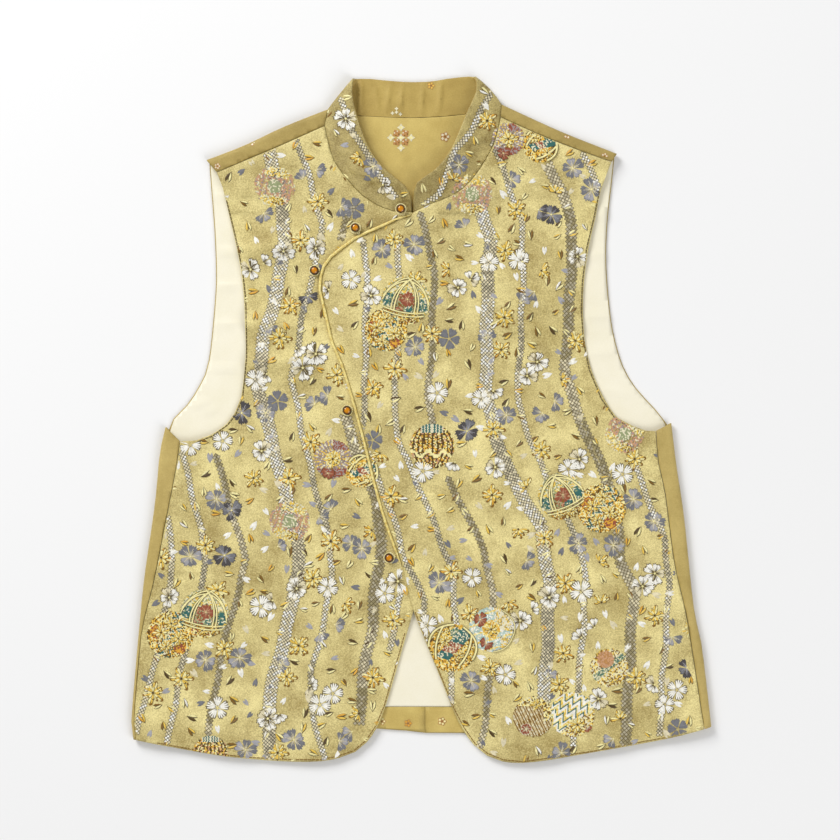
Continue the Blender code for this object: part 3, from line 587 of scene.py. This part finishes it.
def edge_shade_line(path, finish, width):
    """A dark line along a path, short floats with small gaps: painted shade along an edge."""
    for corner, along, length in straight_runs(path):
        count = max(1, round(length / SHADE_DASH_STEP))
        for stitch in range(count):
            start, end = length * stitch / count, length * (stitch + SHADE_DASH_SHARE) / count
            sides = ((start, -width / 2), (end, -width / 2), (end, width / 2), (start, width / 2))
            weave(finish, [beside(corner, along, run, side) for run, side in sides], 0.15)


# The armhole lines are partly the fronts' own dark edge and partly painted shade; the hem lines are painted
# shade along the turned edge.
for path in ARMHOLE_EDGES:
    edge_shade_line(path, "olive_line", 1.2)
for path in HEM_EDGES:
    edge_shade_line(path, "dark_gilt", 0.9)
for seed, (width, path) in enumerate(WHITE_BANDS):
    net_band(path, width, ["white_silk", "pearl_silk", "pearl_silk"], "net_shadow", seed)
for seed, (width, path) in enumerate(GREY_BANDS):
    net_band(path, width, ["net_taupe", "net_olive"], "net_brown", seed + 40, GREY_PITCH)

dice = random.Random(11)
SILK_THREADS = {"white": (["white_silk", "white_silk", "pearl_silk"], "olive_line", "olive_line"),
                "slate": (["slate_silk", "pale_slate"], "slate_silk", "pearl_silk"),
                "dark": (["dark_slate", "slate_silk"], "dark_slate", "pale_slate")}
STROKED_SHARE = {"white": 0.45, "slate": 0.15, "dark": 0.0}
for kind, places in BLOSSOMS.items():
    for x, y in places:
        turn = dice.uniform(0, math.tau)
        if kind == "gold":
            gilt_blossom(x, y, dice.uniform(9.0, 10.6), turn, dice.random() < 0.4)
        else:
            body, edge, line = SILK_THREADS[kind]
            size = dice.uniform(10.0, 12.0) if kind == "white" else dice.uniform(9.6, 11.0)
            if dice.random() < STROKED_SHARE[kind]:
                stroked_blossom(x, y, size, turn, body[0], edge)
            else:
                silk_blossom(x, y, size, turn, body, edge, line)
for kind, places in PART_BLOSSOMS.items():
    for x, y in places:
        turn = dice.uniform(0, math.tau)
        if kind == "gold":
            gilt_blossom(x, y, 9.0, turn, dice.random() < 0.4, range(5))
        else:
            body, edge, line = SILK_THREADS[kind]
            silk_blossom(x, y, 9.4, turn, body, edge, line, range(2 + dice.randrange(2)))


BALL_PITCH = 1.25
BALL_RISE = 0.35
BALL_FLOAT = [(-0.62, -0.5), (0.5, -0.62), (0.62, 0.5), (-0.5, 0.62)]


def thread_ball(x, y, radius, turn, dress, seed):
    """A ball wound in coloured threads: short floats side by side, each of the colour dress gives."""
    chance = random.Random(seed)
    rows = int(radius / BALL_PITCH) + 1
    for row in range(-rows, rows + 1):
        for column in range(-rows, rows + 1):
            u = (column + 0.5 * (row % 2)) * BALL_PITCH / radius
            v = row * BALL_PITCH / radius
            if u * u + v * v > 1.0:
                continue
            finish = dress(u, v, chance)
            if finish is None:
                continue
            dome = BALL_RISE * math.sqrt(max(0.0, 1.0 - u * u - v * v))
            middle = turned([(u, v)], x, y, radius, turn)[0]
            twist = turn + chance.uniform(-0.2, 0.2)
            weave(finish, turned(BALL_FLOAT, *middle, BALL_PITCH, twist), 0.28 + dome)


def gilt_mix(chance, *extra):
    """A thread picked from the gilt ones, and sometimes another of the names given."""
    return chance.choice(("gilt", "bright_gilt", "bright_gilt", "dark_gilt", "brown_line", *extra))


def fan_dress(u, v, chance):
    """Cream and gilt, with teal patches, a middle of rose, sage and rust, and a gilt foot."""
    if v > 0.50:
        return gilt_mix(chance, "rust_silk", "amber_gilt", "bright_gilt")
    if (abs(u) - 0.70) ** 2 + (v - 0.08) ** 2 < 0.075 or (u - 0.20) ** 2 + (v - 0.36) ** 2 < 0.035:
        return chance.choice(("teal_silk", "teal_silk", "teal_silk", "sage_silk", "cream_silk"))
    if abs(u) < 0.42 and v > -0.25:
        return chance.choice(("rose_silk", "sage_silk", "rust_silk", "dark_gilt"))
    return chance.choice(("cream_silk", "bright_gilt", "gilt", "sage_silk"))


def gilt_arc(x, y, radius, turn, start, middle, end, width=1.5):
    """A raised gilt cord laid in a curve across a ball, in the ball's own measure, on a brown edge."""
    steps = 14
    points = []
    for step in range(steps + 1):
        share = step / steps
        bend = [(1 - share) ** 2 * a + 2 * share * (1 - share) * b + share ** 2 * c
                for a, b, c in zip(start, middle, end)]
        points.append(turned([bend], x, y, radius, turn)[0])
    for first, second in zip(points, points[1:]):
        run = math.hypot(second[0] - first[0], second[1] - first[1])
        across = (-(second[1] - first[1]) / run, (second[0] - first[0]) / run)
        for finish, half, lift in (("brown_line", width * 0.95, 1.10), ("bright_gilt", width * 0.60, 1.24)):
            weave(finish, [(first[0] + across[0] * half, first[1] + across[1] * half),
                           (second[0] + across[0] * half, second[1] + across[1] * half),
                           (second[0] - across[0] * half, second[1] - across[1] * half),
                           (first[0] - across[0] * half, first[1] - across[1] * half)], lift)


def fan_arcs(x, y, radius, turn):
    """The fan's ribs: two pairs that cross at its top, and two that follow its sides."""
    for side in (-1.0, 1.0):
        for shift in (0.0, 0.13):
            gilt_arc(x, y, radius, turn, (-0.12 * side, -0.98), (side * (0.50 + shift), -0.45),
                     (side * (0.42 + shift), 0.48), 1.1)
            gilt_arc(x, y, radius, turn, (0.05 * side, -0.95 + shift),
                     (side * (0.62 + shift), -0.80 + shift), (side * 0.97, -0.02 + shift), 1.1)
    for shift in (0.0, 0.14):
        gilt_arc(x, y, radius, turn, (-0.85, 0.42 + shift), (0.0, 0.62 + shift), (0.85, 0.36 + shift), 1.1)


def lump_dress(u, v, chance):
    """A gilt mosaic with a teal and cream zigzag down its middle and two rust patches."""
    zigzag = (u * 5 + abs((v * 3) % 1.0 - 0.5) * 3) % 2.0
    if abs(u) < 0.35 and zigzag < 0.5:
        return "teal_silk"
    if abs(u) < 0.35 and zigzag < 0.9:
        return "cream_silk"
    if (u + 0.55) ** 2 + (v - 0.1) ** 2 < 0.09 or (u - 0.6) ** 2 + (v - 0.35) ** 2 < 0.07:
        return chance.choice(("rust_silk", "amber_gilt"))
    return gilt_mix(chance, "amber_gilt")


def pink_dress(u, v, chance):
    """Faint stripes of rose silk round a sage middle, open to the ground in places."""
    if u * u + v * v < 0.12:
        return chance.choice(("sage_silk", "sage_silk", "cream_silk"))
    if abs(v) > 0.45 and abs(u) < 0.6:
        return chance.choice(("bright_gilt", "gilt", "cream_silk", None, None))
    if int((u + 2.0) * 7) % 2:
        return chance.choice(("rose_silk", "rose_silk", "mauve_silk", None))
    return chance.choice(("rose_silk", "cream_silk", None, None, None))


def mauve_dress(u, v, chance):
    """Mauve rays round a gilt middle, with rust and mauve at the foot and on one side of the top."""
    if u * u + v * v < 0.14:
        return chance.choice(("bright_gilt", "gilt"))
    if v > 0.5 or (v < -0.5 and u > 0):
        return chance.choice(("rust_silk", "mauve_silk"))
    return "mauve_silk" if int(math.atan2(v, u) * 9) % 2 else chance.choice(("gilt", "cream_silk", None))


def pumpkin_dress(u, v, chance):
    """Mixed gilt segments between brown ribs, with a teal and cream cap and a gilt ripple."""
    if v < -0.62 and abs(u) < 0.5:
        return "teal_silk" if int(u * 14) % 2 else "cream_silk"
    if abs(v - 0.35 - 0.12 * math.sin(u * 9)) < 0.07:
        return "bright_gilt"
    bent = u / math.sqrt(max(0.08, 1.0 - v * v))
    return "brown_line" if (bent * 9) % 2.0 < 0.6 else gilt_mix(chance, "amber_gilt", "rose_silk")


def ribbon_dress(u, v, chance):
    """A gilt mosaic crossed by a slanted ribbon of teal and rust."""
    slant = u + 0.5 * v
    if abs(slant) < 0.28 and v < 0.55:
        if abs(v) < 0.22:
            return chance.choice(("rust_silk", "rust_silk", "rose_silk", "cream_silk"))
        return chance.choice(("teal_silk", "teal_silk", "cream_silk"))
    if (u + 0.05) ** 2 + (v + 0.62) ** 2 < 0.05:
        return chance.choice(("sage_silk", "cream_silk", "teal_silk"))
    return gilt_mix(chance, "amber_gilt", "amber_gilt", "gilt")


def pale_blue_dress(u, v, chance):
    """Pale blue silk with gilt stripes round a gilt middle, cream and gilt to one side."""
    if u * u + v * v < 0.16:
        return chance.choice(("gilt", "amber_gilt", "bright_gilt"))
    if u - 0.4 * v > 0.34 and abs(v - 0.05) > 0.16:
        return chance.choice(("cream_silk", "gilt", "cream_silk", None))
    if (u + v * 2.0) % 0.9 < 0.16:
        return chance.choice(("gilt", "bright_gilt"))
    return chance.choice(("pale_blue_silk", "pale_blue_silk", "white_silk", "pale_blue_silk", "cream_silk"))


def striped_dress(u, v, chance):
    """Fine dark gilt and sand stripes, with a gilt mosaic at the top and one side."""
    if v < -0.55 or (u > 0.5 and v < 0.2):
        return gilt_mix(chance, "cream_silk", "bright_gilt")
    if (u * 13 - v * 6) % 2.0 < 0.9:
        return "dark_gilt"
    return chance.choice(("cream_silk", "sand_silk", "sand_silk"))


def zigzag_dress(u, v, chance):
    """Teal and white zigzags, with a gilt mosaic to one side."""
    if u + 0.5 * v > 0.35:
        return chance.choice(("bright_gilt", "gilt", "cream_silk", "dark_gilt"))
    step = (v * 3.0 + abs((u * 2.6) % 1.0 - 0.5) * 2.2) % 1.3
    if step < 0.32:
        return "teal_silk"
    return "white_silk" if step < 0.80 else chance.choice(("gilt", "bright_gilt"))


def banded_dress(u, v, chance):
    """A rose patch, a sage band and a pale gilt mosaic."""
    slant = u + v
    if (u + 0.25) ** 2 + (v + 0.42) ** 2 < 0.20:
        return chance.choice(("rose_silk", "tan_silk"))
    if -0.30 < slant < 0.15:
        return "sage_silk" if int((slant + 2.0) * 12) % 2 else chance.choice(("cream_silk", "teal_silk"))
    return chance.choice(("bright_gilt", "cream_silk", "gilt", "dark_gilt"))


THREAD_BALLS = [(275, 187, 20, 0.2, pink_dress), (472, 195, 20, 0.1, pink_dress),
                (290, 521, 20, 0.3, pink_dress), (624, 434, 19, 0.9, pink_dress),
                (406, 301, 24, 0.2, fan_dress), (386, 330, 21, 0.4, lump_dress),
                (205, 613, 24, 0.2, fan_dress), (171, 634, 23, 0.4, lump_dress),
                (561, 496, 23, -0.35, fan_dress), (601, 508, 24, 0.5, lump_dress),
                (333, 459, 19, 0.0, mauve_dress), (362, 471, 16, 0.9, ribbon_dress),
                (508, 140, 16, 0.0, mauve_dress), (540, 146, 17, 0.9, ribbon_dress),
                (432, 446, 22, 0.0, pumpkin_dress), (452, 647, 24, 0.3, ribbon_dress),
                (491, 629, 22, 0.2, pale_blue_dress), (533, 716, 20, 0.0, striped_dress),
                (572, 714, 22, 0.5, zigzag_dress), (609, 667, 19, 0.1, banded_dress),
                (211, 752, 17, 0.0, pumpkin_dress)]
for seed, (x, y, radius, turn, dress) in enumerate(THREAD_BALLS):
    thread_ball(x, y, radius, turn, dress, seed)

ON_BALL = 0.40
GILT_ON_BALLS = {fan_dress: [(-2, 17, 5.5, 0.0, True), (10, 15, 5.5, 0.0, False)],
                 lump_dress: [(-9, -2, 8.0, 0.0, True), (8, 4, 7.4, 0.4, False),
                              (1, -11, 6.6, 0.9, False), (-4, 12, 6.6, 0.2, True)],
                 ribbon_dress: [(-7, -7, 6.5, 0.0, False), (7, 8, 6.0, 0.0, True)],
                 mauve_dress: [(0, 0, 8.6, 0.0, False)],
                 pale_blue_dress: [(0, 0, 8.6, 0.0, True)],
                 striped_dress: [(3, -12, 6.0, 0.0, False)],
                 zigzag_dress: [(5, 10, 9.0, 0.0, False)]}
RUST_ON_BALLS = {fan_dress: [(1.5, -1.5, 7.6, 5, "brown_line", "rose_silk")],
                 mauve_dress: [(-5, 14, 6.5, 4, "brown_line", "rose_silk")],
                 pale_blue_dress: [(-5, 14, 6.5, 4, "brown_line", "rose_silk"),
                                   (-11, -10, 7.0, 5, "brown_line", "rose_silk")],
                 striped_dress: [(-7, 12, 6.0, 5, "cream_silk", "cream_silk")],
                 zigzag_dress: [(15, 12, 5.0, 3, "tan_silk", "cream_silk")]}
for x, y, radius, turn, dress in THREAD_BALLS:
    for right, down, size, twist, warm in GILT_ON_BALLS.get(dress, []):
        gilt_blossom(x + right, y + down, size, turn + twist, warm, base=ON_BALL)
    for right, down, size, petals, edge, line in RUST_ON_BALLS.get(dress, []):
        silk_blossom(x + right, y + down, size, turn, ["rust_silk"], edge, line, range(petals), ON_BALL)
    if dress is fan_dress:
        fan_arcs(x, y, radius, turn)
    if dress is ribbon_dress:
        for side in (-0.62, 0.62):
            gilt_arc(x, y, radius, turn, (side, -0.75), (side * 1.3, 0.0), (side * 0.8, 0.65))
        for side in (-1.0, 1.0):
            gilt_arc(x, y, radius, turn, (side * 0.2, -0.95), (side * 1.2, -0.6), (side * 0.95, 0.25))
    if dress is pale_blue_dress:
        gilt_arc(x, y, radius, turn, (0.30, -0.95), (1.25, -0.65), (1.0, 0.20), 0.8)
        gilt_arc(x, y, radius, turn, (1.0, 0.20), (0.90, 0.80), (0.30, 0.96), 0.8)
    if dress in (pink_dress, banded_dress):
        gilt_blossom(x + 3, y + 0.6 * radius, 6.0, turn, False, range(5), ON_BALL)

PETAL_PAIRS = [("bright_gilt", "bright_gilt"), ("bright_gilt", "gilt"), ("bright_gilt", "gilt"),
               ("gilt", "dark_gilt"), ("bright_gilt", "brown_line"), ("bright_gilt", "dark_gilt"),
               ("amber_gilt", "gilt"), ("white_silk", "bright_gilt"), ("white_silk", None),
               ("white_silk", None), ("pearl_silk", None), ("slate_silk", None), ("pale_slate", None)]
MIRRORED_LOBE = [(-a, b) for a, b in reversed(PETAL_LOBE)]
PETAL_TRIES = 5000
PETAL_GAP = 12.5
BLOSSOM_GAP = 12.0
BALL_GAP = 4
taken = [spot for group in (BLOSSOMS, PART_BLOSSOMS) for places in group.values() for spot in places]
ball_spots = [(x, y, radius) for x, y, radius, _, _ in THREAD_BALLS]
petal_spots = []
for _ in range(PETAL_TRIES):
    x, y = dice.uniform(130, 712), dice.uniform(80, 762)
    clear = all(math.hypot(x - a, y - b) > BLOSSOM_GAP for a, b in taken)
    clear = clear and all(math.hypot(x - a, y - b) > radius + BALL_GAP for a, b, radius in ball_spots)
    if clear and all(math.hypot(x - a, y - b) > PETAL_GAP for a, b in petal_spots):
        petal_spots.append((x, y))
for x, y in petal_spots:
    finish, other = dice.choice(PETAL_PAIRS)
    turn = dice.uniform(0, math.tau)
    size = dice.uniform(3.8, 5.2)
    if other:
        # Under a two-lobed petal lies a dark copy set a little down and to the right: a painted shadow.
        weave("olive_line", turned(LOOSE_PETAL, x + 0.2, y + 0.3, size * 1.12, turn), 0.18)
        laid_petal(finish, PETAL_LOBE, x, y, size, turn, 0.26, 0.4)
        laid_petal(other, MIRRORED_LOBE, x, y, size, turn, 0.26, 0.4)
    else:
        laid_petal(finish, LOOSE_PETAL, x, y, size, turn, 0.20, 0.35)


def thread_finish(name, colour, roughness):
    """Lustrous thread: one dyed shade that varies a little from float to float, finely ridged."""
    finish = bpy.data.materials.new(name)
    add, _ = node_maker(finish)
    where = add("ShaderNodeTexCoord").outputs["Object"]
    floats = add("ShaderNodeTexNoise", Vector=where, Scale=420.0, Detail=3.0)
    darker = (*[part * 0.72 for part in colour[:3]], 1.0)
    ridges = add("ShaderNodeTexWave", {"bands_direction": "DIAGONAL"}, Vector=where, Scale=700.0,
                 Distortion=1.5)
    bump = add("ShaderNodeBump", Strength=0.25, Distance=0.3 * MM, Height=ridges.outputs["Fac"])
    painted(finish, shaded(add, floats.outputs["Fac"], 0.3, darker, 0.7, colour), roughness, bump)
    return finish


GILT_ROUGHNESS = 0.38
SILK_ROUGHNESS = 0.45
THREAD_SHADES = {"white_silk": (255, 252, 240), "pearl_silk": (234, 222, 184), "net_shadow": (44, 38, 18),
                 "net_taupe": (188, 178, 148), "net_olive": (160, 148, 108), "net_brown": (108, 94, 58),
                 "slate_silk": (124, 124, 128), "pale_slate": (172, 170, 174), "dark_slate": (80, 76, 76),
                 "gilt": (244, 204, 88), "bright_gilt": (255, 243, 172), "amber_gilt": (234, 174, 60),
                 "dark_gilt": (136, 100, 34), "olive_line": (104, 90, 52), "brown_line": (84, 62, 20),
                 "rust_silk": (156, 84, 58), "teal_silk": (58, 110, 104), "rose_silk": (212, 162, 124),
                 "tan_silk": (196, 142, 84), "sand_silk": (214, 192, 142), "sage_silk": (158, 166, 120),
                 "mauve_silk": (168, 148, 142), "pale_blue_silk": (184, 208, 198),
                 "cream_silk": (240, 232, 196)}
thread_names = list(THREAD_SHADES)
thread_finishes = [thread_finish(name, srgb(*shade), GILT_ROUGHNESS if "gilt" in name else SILK_ROUGHNESS)
                   for name, shade in THREAD_SHADES.items()]

# The threads are dropped on the cloth from ABOVE (m). One that would lie across two pieces, over a step
# of more than HIGHEST_STEP or on a slope whose normal rises less than STEEPEST is left out.
ABOVE = 0.1
STEEPEST = 0.25
HIGHEST_STEP = 4.0 * MM
covers = [back, lining, collar_inside, *facings]
corner_points, corner_faces, owner = [], [], []
for piece in [*fronts.values(), collar, *covers]:
    first = len(corner_points)
    corner_points += [vert.co.copy() for vert in piece.data.vertices]
    corner_faces += [[first + index for index in face.vertices] for face in piece.data.polygons]
    owner += [piece.name] * len(piece.data.polygons)
garment_top = BVHTree.FromPolygons(corner_points, corner_faces)


def laid_down(patches, keepers):
    """The patches dropped on the garment, for each keeper its points, faces and shades."""
    lying = {name: ([], [], []) for name in keepers}
    for finish, outline, lift in patches:
        lifts = lift if isinstance(lift, tuple) else (lift,) * len(outline)
        laid, owners = [], set()
        for (x, y), rise in zip(outline, lifts):
            start = Vector(((x - PHOTO_ORIGIN[0]) * MM, (PHOTO_ORIGIN[1] - y) * MM, ABOVE))
            spot, normal, face, _ = garment_top.ray_cast(start, Vector((0.0, 0.0, -1.0)))
            owners.add(owner[face] if spot and normal.z > STEEPEST else None)
            if len(owners) > 1 or not owners <= lying.keys():
                break
            laid.append(spot + Vector((0.0, 0.0, rise * MM)))
        heights = [point.z for point in laid]
        if len(laid) < len(outline) or max(heights) - min(heights) > HIGHEST_STEP:
            continue
        points, faces, shades = lying[owners.pop()]
        faces.append(tuple(range(len(points) + len(laid) - 1, len(points) - 1, -1)))
        points += laid
        shades.append(thread_names.index(finish))
    return lying


def thread_piece(name, points, faces, shades, slot):
    """One object for the threads that lie on one piece of cloth."""
    mesh = bpy.data.meshes.new(name)
    mesh.from_pydata(points, [], faces)
    for finish in thread_finishes:
        mesh.materials.append(finish)
    mesh.polygons.foreach_set("material_index", shades)
    pattern = bpy.data.objects.new(name, mesh)
    scene.collection.objects.link(pattern)
    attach(pattern, "root")


brocades = ["brocade_right_front", "brocade_left_front", "brocade_collar"]
for name, lying in laid_down(threads, brocades).items():
    thread_piece(name.replace("brocade", "woven_pattern"), *lying, "brocade")


# The plain silk's own small pattern: crosses and small blossoms in cream, gilt and tan thread, woven far
# apart on the back, the facings and the inside of the collar. Each is given as x, y and reach (mm).
STAR = [(0.0, -1.0), (0.38, -0.38), (1.0, 0.0), (0.38, 0.38), (0.0, 1.0), (-0.38, 0.38), (-1.0, 0.0),
        (-0.38, -0.38)]
SQUARE = [(-0.7, -0.7), (0.7, -0.7), (0.7, 0.7), (-0.7, 0.7)]
DIAMOND = [(0.0, -1.0), (1.0, 0.0), (0.0, 1.0), (-1.0, 0.0)]
SMALL_FLOWERS = [(445, 137, "cream_silk", 4.6), (431, 86, "gilt", 3.4), (408, 723, "amber_gilt", 3.6),
                 (442, 721, "bright_gilt", 4.0), (382, 721, "bright_gilt", 3.6),
                 (252, 143, "cream_silk", 3.6), (218, 167, "cream_silk", 3.0),
                 (567, 136, "cream_silk", 3.6), (604, 157, "cream_silk", 3.2)]
LARGE_CROSSES = [(401, 138, 10.2)]
HALF_CROSSES = [(396.5, 115.0, 5.0)]
crosses = []
for x, y, reach in LARGE_CROSSES:
    for side_x, side_y in ((-1, -1), (1, -1), (1, 1), (-1, 1)):
        middle = (x + side_x * 0.42 * reach, y + side_y * 0.42 * reach)
        crosses.append(("tan_silk", turned(SQUARE, *middle, 0.44 * reach, 0.2), 0.15))
        for turn in (0.3, 1.9, 3.4, 5.0):
            speck = turned([(math.cos(turn), math.sin(turn))], *middle, 0.22 * reach, 0.0)[0]
            finish = "dark_gilt" if turn < 3 else "cream_silk"
            crosses.append((finish, turned(DIAMOND, *speck, 0.09 * reach, turn), 0.22))
    for side_x, side_y in ((0, -1), (1, 0), (0, 1), (-1, 0), (0, 0)):
        arm = (x + side_x * reach, y + side_y * reach)
        crosses.append(("cream_silk", turned(STAR, *arm, 0.40 * reach, 0.0), 0.30))
        crosses.append(("bright_gilt", turned(DIAMOND, *arm, 0.20 * reach, 0.0), 0.36))
for x, y, finish, reach in SMALL_FLOWERS:
    crosses.append(("dark_gilt", turned(DIAMOND, x, y, 0.36 * reach, 0.0), 0.15))
    for petal in range(5):
        way = petal * math.tau / 5 + 0.3
        middle = (x + 0.66 * reach * math.sin(way), y - 0.66 * reach * math.cos(way))
        crosses.append(("tan_silk", turned(DIAMOND, *middle, 0.56 * reach, way), 0.24))
        crosses.append((finish, turned(DIAMOND, *middle, 0.34 * reach, way + 0.5), 0.32))
for x, y, reach in HALF_CROSSES:
    for shift, drop in ((-0.8, -0.3), (0.0, -0.5), (0.8, -0.1), (0.0, -1.2)):
        arm = (x + shift * reach, y + drop * reach)
        crosses.append(("cream_silk", turned(STAR, *arm, 0.42 * reach, 0.0), 0.25))
plain_covers = [cover.name for cover in covers if cover is not lining]
for name, lying in laid_down(crosses, plain_covers).items():
    if lying[1]:
        thread_piece("woven_crosses_" + name, *lying, "plain_cloth")


# The trim of the slanted closing: gold satin piping sewn along the placket edge, and five amber beads,
# each held in a small loop of pale gold cord. They lie on the cloth, which rises over its CAD wall, so
# the piping is lifted with the front, and each loop with its bead to just above the cloth below it.
PIPING_SPACING = 3.0 * MM
PIPING_LOFT = 0.5
LOOP_SPACING = 2.0 * MM
LOOP_GAP = 0.1 * MM
BEAD_SEGMENTS = 40
TRIM_SHARP = 80
cord_gold = woven_finish("gold_cord", srgb(255, 240, 160), srgb(216, 184, 90), patch=3, thread=1.2,
                         roughness=0.30, relief=0.8)
pale_cord = woven_finish("pale_cord", srgb(255, 250, 200), srgb(236, 212, 132), patch=3, thread=1.2,
                         roughness=0.30, relief=0.8)
piping = cut_cloth("placket_piping", PIPING_SPACING)
piping_points = np.array([vert.co for vert in piping.verts]) / MM
for vert, rise in zip(piping.verts, front_lift(piping_points, "right_front")):
    vert.co.z += (rise + PIPING_LOFT) * MM
sewn_piece("piping_cord", piping, cord_gold, ["placket_piping"], TRIM_SHARP)


def cloth_top(low, high):
    """Height of the cloth's highest point under a box, in metres."""
    tops = []
    for step_x in range(5):
        for step_y in range(5):
            x = low.x + (high.x - low.x) * step_x / 4
            y = low.y + (high.y - low.y) * step_y / 4
            tops.append(garment_top.ray_cast(Vector((x, y, ABOVE)), Vector((0.0, 0.0, -1.0)))[0].z)
    return max(tops)


amber = bpy.data.materials.new("amber_bead")
add, _ = node_maker(amber)
# The bead's colour carries painted shade: dark brown over most of the dome, turning amber only near its top.
level = add("ShaderNodeSeparateXYZ", Vector=add("ShaderNodeTexCoord").outputs["Generated"]).outputs["Z"]
painted(amber, shaded(add, level, 0.80, srgb(64, 30, 6), 0.94, srgb(206, 132, 6)), roughness=0.10)
for number in range(1, 6):
    low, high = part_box(f"loop_{number}")
    rise = cloth_top(low, high) + LOOP_GAP - low.z
    loop = cut_cloth(f"loop_{number}", LOOP_SPACING)
    for vert in loop.verts:
        vert.co.z += rise
    sewn_piece(f"cord_loop_{number}", loop, pale_cord, [f"loop_{number}"], TRIM_SHARP)
    low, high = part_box(f"bead_{number}")
    dome = bmesh.new()
    bmesh.ops.create_uvsphere(dome, u_segments=BEAD_SEGMENTS, v_segments=BEAD_SEGMENTS // 2, radius=1.0)
    for vert in dome.verts:
        vert.co = [(low[axis] + high[axis]) / 2 + (high[axis] - low[axis]) / 2 * vert.co[axis]
                   for axis in range(3)]
        vert.co.z += rise
    sewn_piece(f"dome_bead_{number}", dome, amber, [f"bead_{number}"], TRIM_SHARP)
